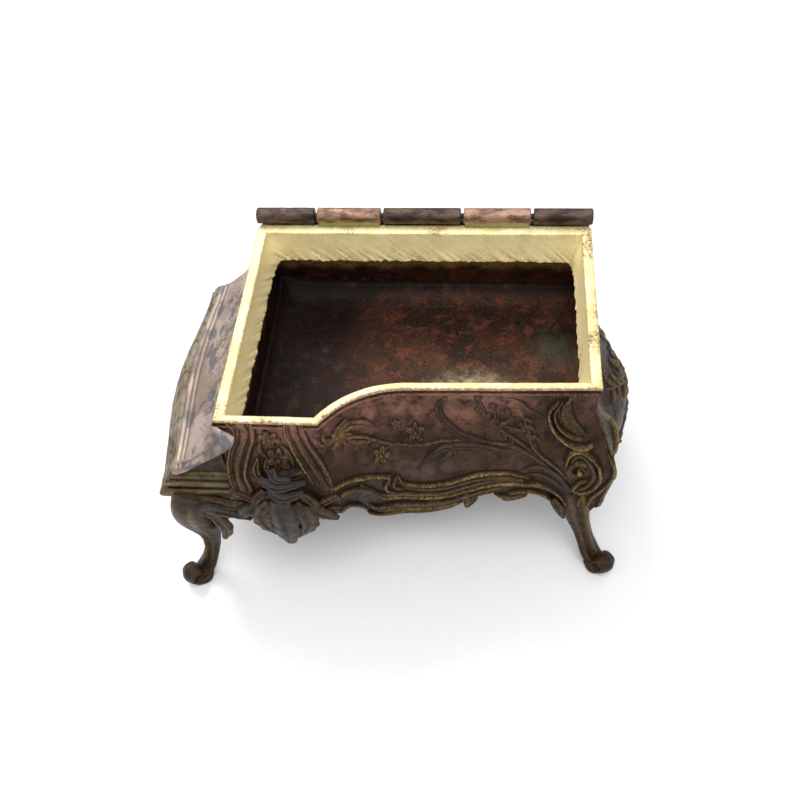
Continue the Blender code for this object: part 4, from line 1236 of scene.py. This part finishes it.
def build_leaf(name, path, half, thick, material, seed):
    """Cast acanthus leaf that follows a path: lobed edges, a sunk vein and a curled tip."""
    line = catmull(path, 8)
    along = np.gradient(line, axis=0)
    along /= np.linalg.norm(along, axis=1)[:, None]
    facing = np.array((0, -1, 0.25)) / np.linalg.norm((0, -1, 0.25))
    angle = np.linspace(0, 2 * math.pi, 36, endpoint=False)
    rings, crest, recess = [], [], []
    for i, (point, tangent) in enumerate(zip(line, along)):
        share = i / (len(line) - 1)
        across = np.cross(tangent, facing)
        across /= np.linalg.norm(across)
        out = np.cross(across, tangent)
        swell = 0.2 + 0.8 * math.sin(math.pi * min(1, 0.16 + 0.8 * share)) ** 0.7
        beat = math.cos(2 * math.pi * LEAF_LOBES * share)
        lobe = 1 + 0.08 * beat
        vein = np.exp(-(np.cos(angle) / 0.2) ** 2) * (np.sin(angle) > 0)
        ripple = 0.13 * np.cos(2.4 * math.pi * np.abs(np.cos(angle)) + 5 * share)
        fold = ripple * np.clip(np.sin(angle), 0, 1)
        reach = thick * (0.5 + 0.5 * swell) * (1 - 0.22 * vein + 0.7 * fold + 0.05 * beat)
        reach += 0.08 * fractal(angle * 2, share * 20, 1.5, seed)
        rings.append(point + half * swell * lobe * np.cos(angle)[:, None] * across
                     + (reach * np.sin(angle))[:, None] * out)
        crest.append(np.clip(fold * 5, 0, 1) * 0.8)
        recess.append(np.clip(vein + 0.5 * (fold < -0.05), 0, 1) * 0.7)
    points, faces = tube_mesh(rings)
    crest = np.array(crest)
    masks = coat(crest, recess=np.array(recess), gold=crest * 0.5, rosy=0.1)
    mesh_piece(name, points, faces, [material], "case", (), masks)


def build_leaves():
    """Loose-standing leaves: on the cheek, over the pendant and at the knees of the front legs."""
    leaves = (
        ("cheek_leaf_1", ((8.8, -71.2, 53.8), (13.6, -73.0, 52.8), (20.8, -72.2, 54.6)), 1.7, 1.1, MOUNT),
        ("cheek_leaf_2", ((10.6, -72.0, 50.2), (14.6, -74.0, 49.6), (20.0, -73.2, 51.4)), 1.8, 1.2, MOUNT),
        ("cheek_leaf_3", ((12.6, -71.0, 58.4), (13.6, -72.6, 56.4), (17.4, -72.4, 55.6)), 1.4, 0.9, MOUNT),
        ("cheek_leaf_4", ((9.6, -72.4, 49.8), (7.0, -73.2, 47.0), (6.4, -73.2, 43.6)), 1.4, 0.8, BRONZE),
        ("cheek_leaf_5", ((19.0, -73.0, 49.8), (21.8, -73.4, 46.6), (22.6, -73.2, 43.2)), 1.4, 0.8, BRONZE),
        ("pendant_leaf_1", ((13.4, -73.6, 47.6), (13.6, -74.9, 41.0), (13.2, -75.0, 33.6),
                            (12.9, -74.0, 26.2)), 3.7, 1.3, MOUNT),
        ("pendant_leaf_2", ((10.8, -73.4, 45.4), (7.8, -74.2, 41.0), (7.8, -74.2, 36.2),
                            (10.0, -73.8, 30.8)), 3.0, 1.1, BRONZE),
        ("pendant_leaf_3", ((16.2, -73.4, 45.4), (19.2, -74.2, 41.0), (19.0, -74.2, 36.4),
                            (16.6, -73.8, 31.0)), 3.0, 1.1, BRONZE),
        ("pendant_leaf_4", ((8.2, -73.2, 44.0), (3.8, -73.8, 42.0), (0.6, -73.2, 37.6)), 2.2, 0.9, MOUNT),
        ("pendant_leaf_5", ((19.6, -73.4, 43.4), (23.6, -73.8, 41.8), (27.0, -73.2, 38.6)), 2.1, 0.9,
         BRONZE),
        ("knee_leaf_1", ((-10.0, -71.6, 39.6), (-5.4, -72.8, 40.2), (-0.6, -73.2, 39.2),
                         (3.8, -73.0, 36.6)), 2.1, 1.1, MOUNT),
        ("knee_leaf_2", ((-9.4, -71.0, 38.4), (-6.4, -71.6, 33.0), (-5.4, -71.4, 27.0),
                         (-7.4, -70.6, 20.6)), 2.1, 1.3, BRONZE),
        ("knee_leaf_3", ((-10.5, -70.6, 41.8), (-3.0, -71.9, 42.0), (6.5, -72.9, 41.0)), 1.9, 1.1, BRONZE),
        ("corner_leaf", ((83.0, -60.8, 30.6), (84.9, -61.6, 27.0), (86.6, -61.2, 21.6)), 1.3, 0.8, BRONZE),
    )
    for number, (name, path, half, thick, material) in enumerate(leaves):
        build_leaf(name, path, half, thick, material, 301 + number)


# ---------------------------------------------------------------- hinge and lid

def tube_ring(x, radius, angle):
    """Ring of points round the hinge's axis."""
    return np.column_stack([np.full(len(angle), x), HINGE_Y + radius * np.cos(angle),
                            HINGE_H + radius * np.sin(angle)])


def build_knuckles():
    """Rolled hinge tubes with hand-filed facets; the case's are soldered to the rim."""
    for place_of in ("lid_left", "case_left", "lid_centre", "case_right", "lid_right"):
        node, body = "hinge_knuckle_" + place_of, place_of.split("_")[0]
        material, slot = (LID_TUBE, "dark_bronze") if body == "lid" else (CASE_TUBE, "rose_copper")
        low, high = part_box(node)
        x0, x1 = low[0] / MM - ORIGIN[0] / MM, high[0] / MM - ORIGIN[0] / MM
        sides = 72
        angle = np.linspace(0, 2 * math.pi, sides, endpoint=False)
        stops = np.concatenate([[x0, x0 + 0.08, x0 + 0.25], np.linspace(x0 + 0.6, x1 - 0.6, 46),
                                [x1 - 0.25, x1 - 0.08, x1]])
        trim = np.concatenate([[0.3, 0.1, 0.0], np.zeros(46), [0.0, 0.1, 0.3]])
        seed = int(abs(x0)) + 151
        rings, solder = [], []
        for x, cut in zip(stops, trim):
            dent = 0.05 * fractal(x, angle * 2.25, 3.0, seed)
            dent += 0.03 * fractal(x, angle * 2.25, 0.8, seed + 5)
            seam = 0.12 * np.exp(-(turned(angle - 1.9) / 0.06) ** 2)
            r = KNUCKLE_RADIUS - cut + dent - seam
            rings.append(tube_ring(x, r, angle))
            under = -np.sin(angle) - 0.3 * np.cos(angle) + 0.25 * float(grain(x, 0, 1.7, seed + 9))
            solder.append(ease(under, 0.35, 0.8))
        rings = np.array(rings + [tube_ring(x, PIN_BORE, angle) for x in (x1, x0)])
        solder = np.array(solder + [np.zeros(sides)] * 2) * (1.0 if body == "case" else 0.35)
        faces = grid_faces(len(rings), sides, wrap_rows=True, wrap_columns=True)
        mesh_piece(node.replace("hinge_", "rolled_"), rings.reshape(-1, 3), faces, [material], body,
                   (node,),
                   {"solder": solder}, sharp=40)
        build_web(node, x0, x1, body, material, seed)


def build_hinge_seat():
    """Narrow ledge behind the rim on which the tubes sit, smeared with old solder."""
    x = np.linspace(0.4, LENGTH - 0.4, 240)
    rings = []
    for value in x:
        wave = 0.12 * float(fractal(value, 0.0, 2.5, 181))
        rings.append([(value, -0.02, 70.9), (value, 1.15 + wave, 71.0), (value, 1.35 + wave, 71.3),
                      (value, 1.2 + wave, 71.55),
                      (value, 0.5, 71.6 + 0.4 * wave), (value, -0.02, 71.8)])
    points, faces = tube_mesh(np.array(rings))
    zero = np.zeros(len(points))
    mesh_piece("hinge_seat", points, faces, [GILT], "case", (),
               {"worn": zero + 0.5, "inner": zero, "pink": zero})


def build_web(node, x0, x1, body, material, seed):
    """Solder fillet from a tube to the rim, or the lug from a tube to the lid."""
    count = 60
    x = np.linspace(x0 + 0.4, x1 - 0.4, count)
    if body == "case":
        base = [(-0.35, 72.0), (0.15, 70.9), (0.9, 70.6), (1.9, 71.6), (1.8, 72.6), (0.75, 73.9),
                (0.1, 73.1)]
    else:
        base = [(-0.8, 72.5), (0.4, 72.3), (1.6, 72.2), (1.9, 73.0), (0.9, 73.9), (-0.7, 74.2)]
    wave = 0.22 if body == "case" else 0.08
    rings = np.array([[(value, y + wave * float(grain(value, k * 3.1, 1.3, seed + 20)),
                        h + wave * float(grain(value, k * 2.3 + 50, 1.1, seed + 21)))
                       for k, (y, h) in enumerate(base)] for value in x])
    if body == "lid":
        rings = opened(rings)
    points, faces = tube_mesh(rings)
    mesh_piece(node.replace("hinge_knuckle", "web"), points, faces, [material], body, (),
               {"solder": np.full(len(points), 0.9)})


def opened(points):
    """Turns points of the closed lid about the hinge to where the lid hangs at rest."""
    points = np.asarray(points, float).copy()
    y, h = points[..., 1] - HINGE_Y, points[..., 2] - HINGE_H
    points[..., 1] = HINGE_Y + y * math.cos(LID_ANGLE) - h * math.sin(LID_ANGLE)
    points[..., 2] = HINGE_H + y * math.sin(LID_ANGLE) + h * math.cos(LID_ANGLE)
    return points


def build_lid():
    """Lid of the piano: rounded edge, a raised double border and a spray of flowers."""
    counts = (150, 90, 90, 60, 45, 110)
    under, top = RIM_TOP + 0.3, RIM_TOP + 2.3
    outline, _, _ = rim_path(counts, 0, 0, 0.6, 0)
    spine = np.column_stack([np.clip(outline[:, 0], 24, 74), np.full(len(outline), -29.0)])
    inward = spine - outline
    far = np.hypot(*inward.T)
    unit = inward / far[:, None]
    edge = ((200.0, under), (0.5, under), (0.1, under + 0.2), (0.0, under + 0.6), (0.0, top - 0.9),
            (0.12, top - 0.45), (0.4, top - 0.15), (0.8, top))
    rows = [np.column_stack([outline + unit * np.minimum(inset, far)[:, None], np.full(len(outline), h)])
            for inset, h in edge]
    top_rows = 120
    xs, ys = [], []
    for k in range(1, top_rows + 1):
        t = 0.8 / far + (1 - 0.8 / far) * k / top_rows
        xy = outline + inward * t[:, None]
        xs.append(xy[:, 0])
        ys.append(xy[:, 1])
    xs, ys = np.array(xs), np.array(ys)
    relief = Relief(xs, ys)
    lid_relief(relief, outline, unit)
    rise = relief.rise + 0.05 * fractal(xs, ys, 5, 171)
    masks = relief.masks()
    face = np.dstack([xs, ys, top + np.clip(rise, -0.3, 0.72)])
    closed = np.concatenate([np.array(rows), face])
    points = opened(closed).reshape(-1, 3)
    faces = grid_faces(len(closed), closed.shape[1], wrap_columns=True)
    pad = np.zeros((len(edge), len(outline)))
    full = {key: np.concatenate([pad, values]) for key, values in masks.items()}
    full["rosy"] = np.full(closed.shape[:2], 0.55)
    mesh_piece("chased_lid", points, faces, [LID_METAL], "lid", ("lid_plate",), full,
               merge=True)


def lid_relief(relief, outline, unit):
    """Double border, sprays and flowers of the lid."""
    for inset, width, rise, gold in ((2.2, 0.7, 0.55, 0.6), (4.2, 0.45, 0.4, 0.35)):
        ring = outline + unit * inset
        step = 6
        for start in range(0, len(ring), step):
            part = ring[np.arange(start, start + step + 1) % len(ring)]
            relief.stroke([tuple(p) for p in part], width, rise, "soft", (1, 1), gold=gold, per=2)
    for hand in (-1, 1):
        relief.spray([(48 + hand * 4, -28), (48 + hand * 14, -24 - 2 * hand), (48 + hand * 27, -29)], 6.0,
                     9, 0.6, gold=0.4)
        relief.spray([(48 + hand * 3, -31), (48 + hand * 11, -36), (48 + hand * 19, -42)], 4.6, 7, 0.55,
                     soot=0.4)
        relief.flower((48 + hand * 17, -17), 3.4, 0.6, gold=0.4, turn=0.3 * hand)
        relief.volute((48 + hand * 33, -20), 4.2, 1.4, 0.5, 0.9, 0.6, gold=0.5, hand=hand)
        relief.stroke([(48 + hand * 31, -24), (48 + hand * 24, -12), (48 + hand * 9, -9.5), (48, -11)], 0.8,
                      0.55, "double", (0.6, 0.4), gold=0.45)
    relief.flower((48, -28), 5.2, 0.7, gold=0.5, petals=6)
    relief.flower((15, -54), 3.2, 0.6, gold=0.3)
    relief.spray([(19, -53), (27, -48), (34, -47)], 4.0, 6, 0.5, gold=0.3)


BED = patina("keybed_patina", colour(140, 128, 114), colour(70, 56, 38), DARK, BRASS, shift=800)
LID_METAL = patina("lid_patina", ROSE, BROWN, DARK, BRASS, shift=600)
MOUNT = patina("mount_patina", colour(84, 80, 84), colour(46, 38, 31), colour(19, 16, 14),
               colour(122, 110, 80), shift=700)


def dress_cad():
    """Finishes for the CAD pieces that stay in view."""
    for node, material in (("end_cheek_front", BRONZE), ("end_cheek_back", BRONZE), ("hinge_pin", PIN)):
        solid = frame["nodes"][node]
        for slot_of in solid.material_slots:
            slot_of.material = material


# ---------------------------------------------------------------- stage

def build_stage():
    """Pale cloth-like floor and soft daylight from above."""
    size = 4.0
    mesh = bpy.data.meshes.new("table")
    mesh.from_pydata([(-size, -size, 0), (size, -size, 0), (size, size, 0), (-size, size, 0)], [],
                     [(0, 1, 2, 3)])
    table = bpy.data.objects.new("table", mesh)
    bpy.context.collection.objects.link(table)
    s = Shader("table_cloth", 0.0, 0.9)
    warp = s.noise(0.5, 2, 0.5, 0, (1, 0.08, 1))
    weft = s.noise(0.5, 2, 0.5, 60, (0.08, 1, 1))
    base = s.mix(s.calc("MULTIPLY", s.calc("ADD", warp, weft), 0.5), colour(236, 236, 237),
                 colour(250, 250, 250))
    mesh.materials.append(s.finish(base, None, ((warp, 0.08), (weft, 0.08))))
    build_sky()
    for name, place_at, aim, width, power in (("window", (-0.3, 0.45, 0.75), (0, 0, 0.04), 0.35, 4.2),
                                              ("overhead", (0.1, -0.35, 0.95), (0, 0, 0.05), 0.6, 4.6)):
        light = bpy.data.lights.new(name, "AREA")
        light.size = width
        light.energy = power
        lamp = bpy.data.objects.new(name, light)
        lamp.location = place_at
        lamp.rotation_euler = (Vector(aim) - Vector(place_at)).to_track_quat("-Z", "Y").to_euler()
        bpy.context.collection.objects.link(lamp)
    bpy.context.scene.view_settings.view_transform = "Standard"


def build_sky():
    """Soft room light: bright overhead and behind the box, dim towards the horizon in front of it."""
    world = bpy.data.worlds.new("daylight")
    world.use_nodes = True
    tree = world.node_tree
    where = tree.nodes.new("ShaderNodeTexCoord")
    split = tree.nodes.new("ShaderNodeVectorMath")
    split.operation = "DOT_PRODUCT"
    split.inputs[1].default_value = (0.0, 0.1, 0.995)
    fade = tree.nodes.new("ShaderNodeMapRange")
    fade.interpolation_type = "SMOOTHSTEP"
    fade.inputs["From Min"].default_value = -0.15
    fade.inputs["From Max"].default_value = 0.85
    fade.inputs["To Min"].default_value = 0.5
    fade.inputs["To Max"].default_value = 0.92
    tree.links.new(where.outputs["Generated"], split.inputs[0])
    tree.links.new(split.outputs["Value"], fade.inputs["Value"])
    tree.links.new(fade.outputs["Result"], tree.nodes["Background"].inputs["Strength"])
    tree.nodes["Background"].inputs["Color"].default_value = (0.97, 0.98, 1.0, 1)
    bpy.context.scene.world = world


def build_camera():
    """Above and in front of the box, a little to the left of its middle and slightly rolled."""
    camera = bpy.data.cameras.new("camera")
    camera.lens = 40.5
    camera.sensor_width = 36
    camera.clip_start = 0.01
    view = bpy.data.objects.new("camera", camera)
    forward = Vector((-0.095, 0.587, -0.804)).normalized()
    right = forward.cross(Vector((-0.023, 0.806, 0.591))).normalized()
    matrix = Matrix((right, right.cross(forward), -forward)).transposed().to_4x4()
    matrix.translation = Vector(place((64.6, -184.6, RIM_TOP + 171.7)).tolist())
    view.matrix_world = matrix
    bpy.context.collection.objects.link(view)
    bpy.context.scene.camera = view


build_camera()
build_case()
build_collar()
build_floor()
build_cover()
build_keybed()
build_legs()
build_cheek_mount()
build_leaves()
build_knuckles()
build_hinge_seat()
build_lid()
dress_cad()
build_stage()
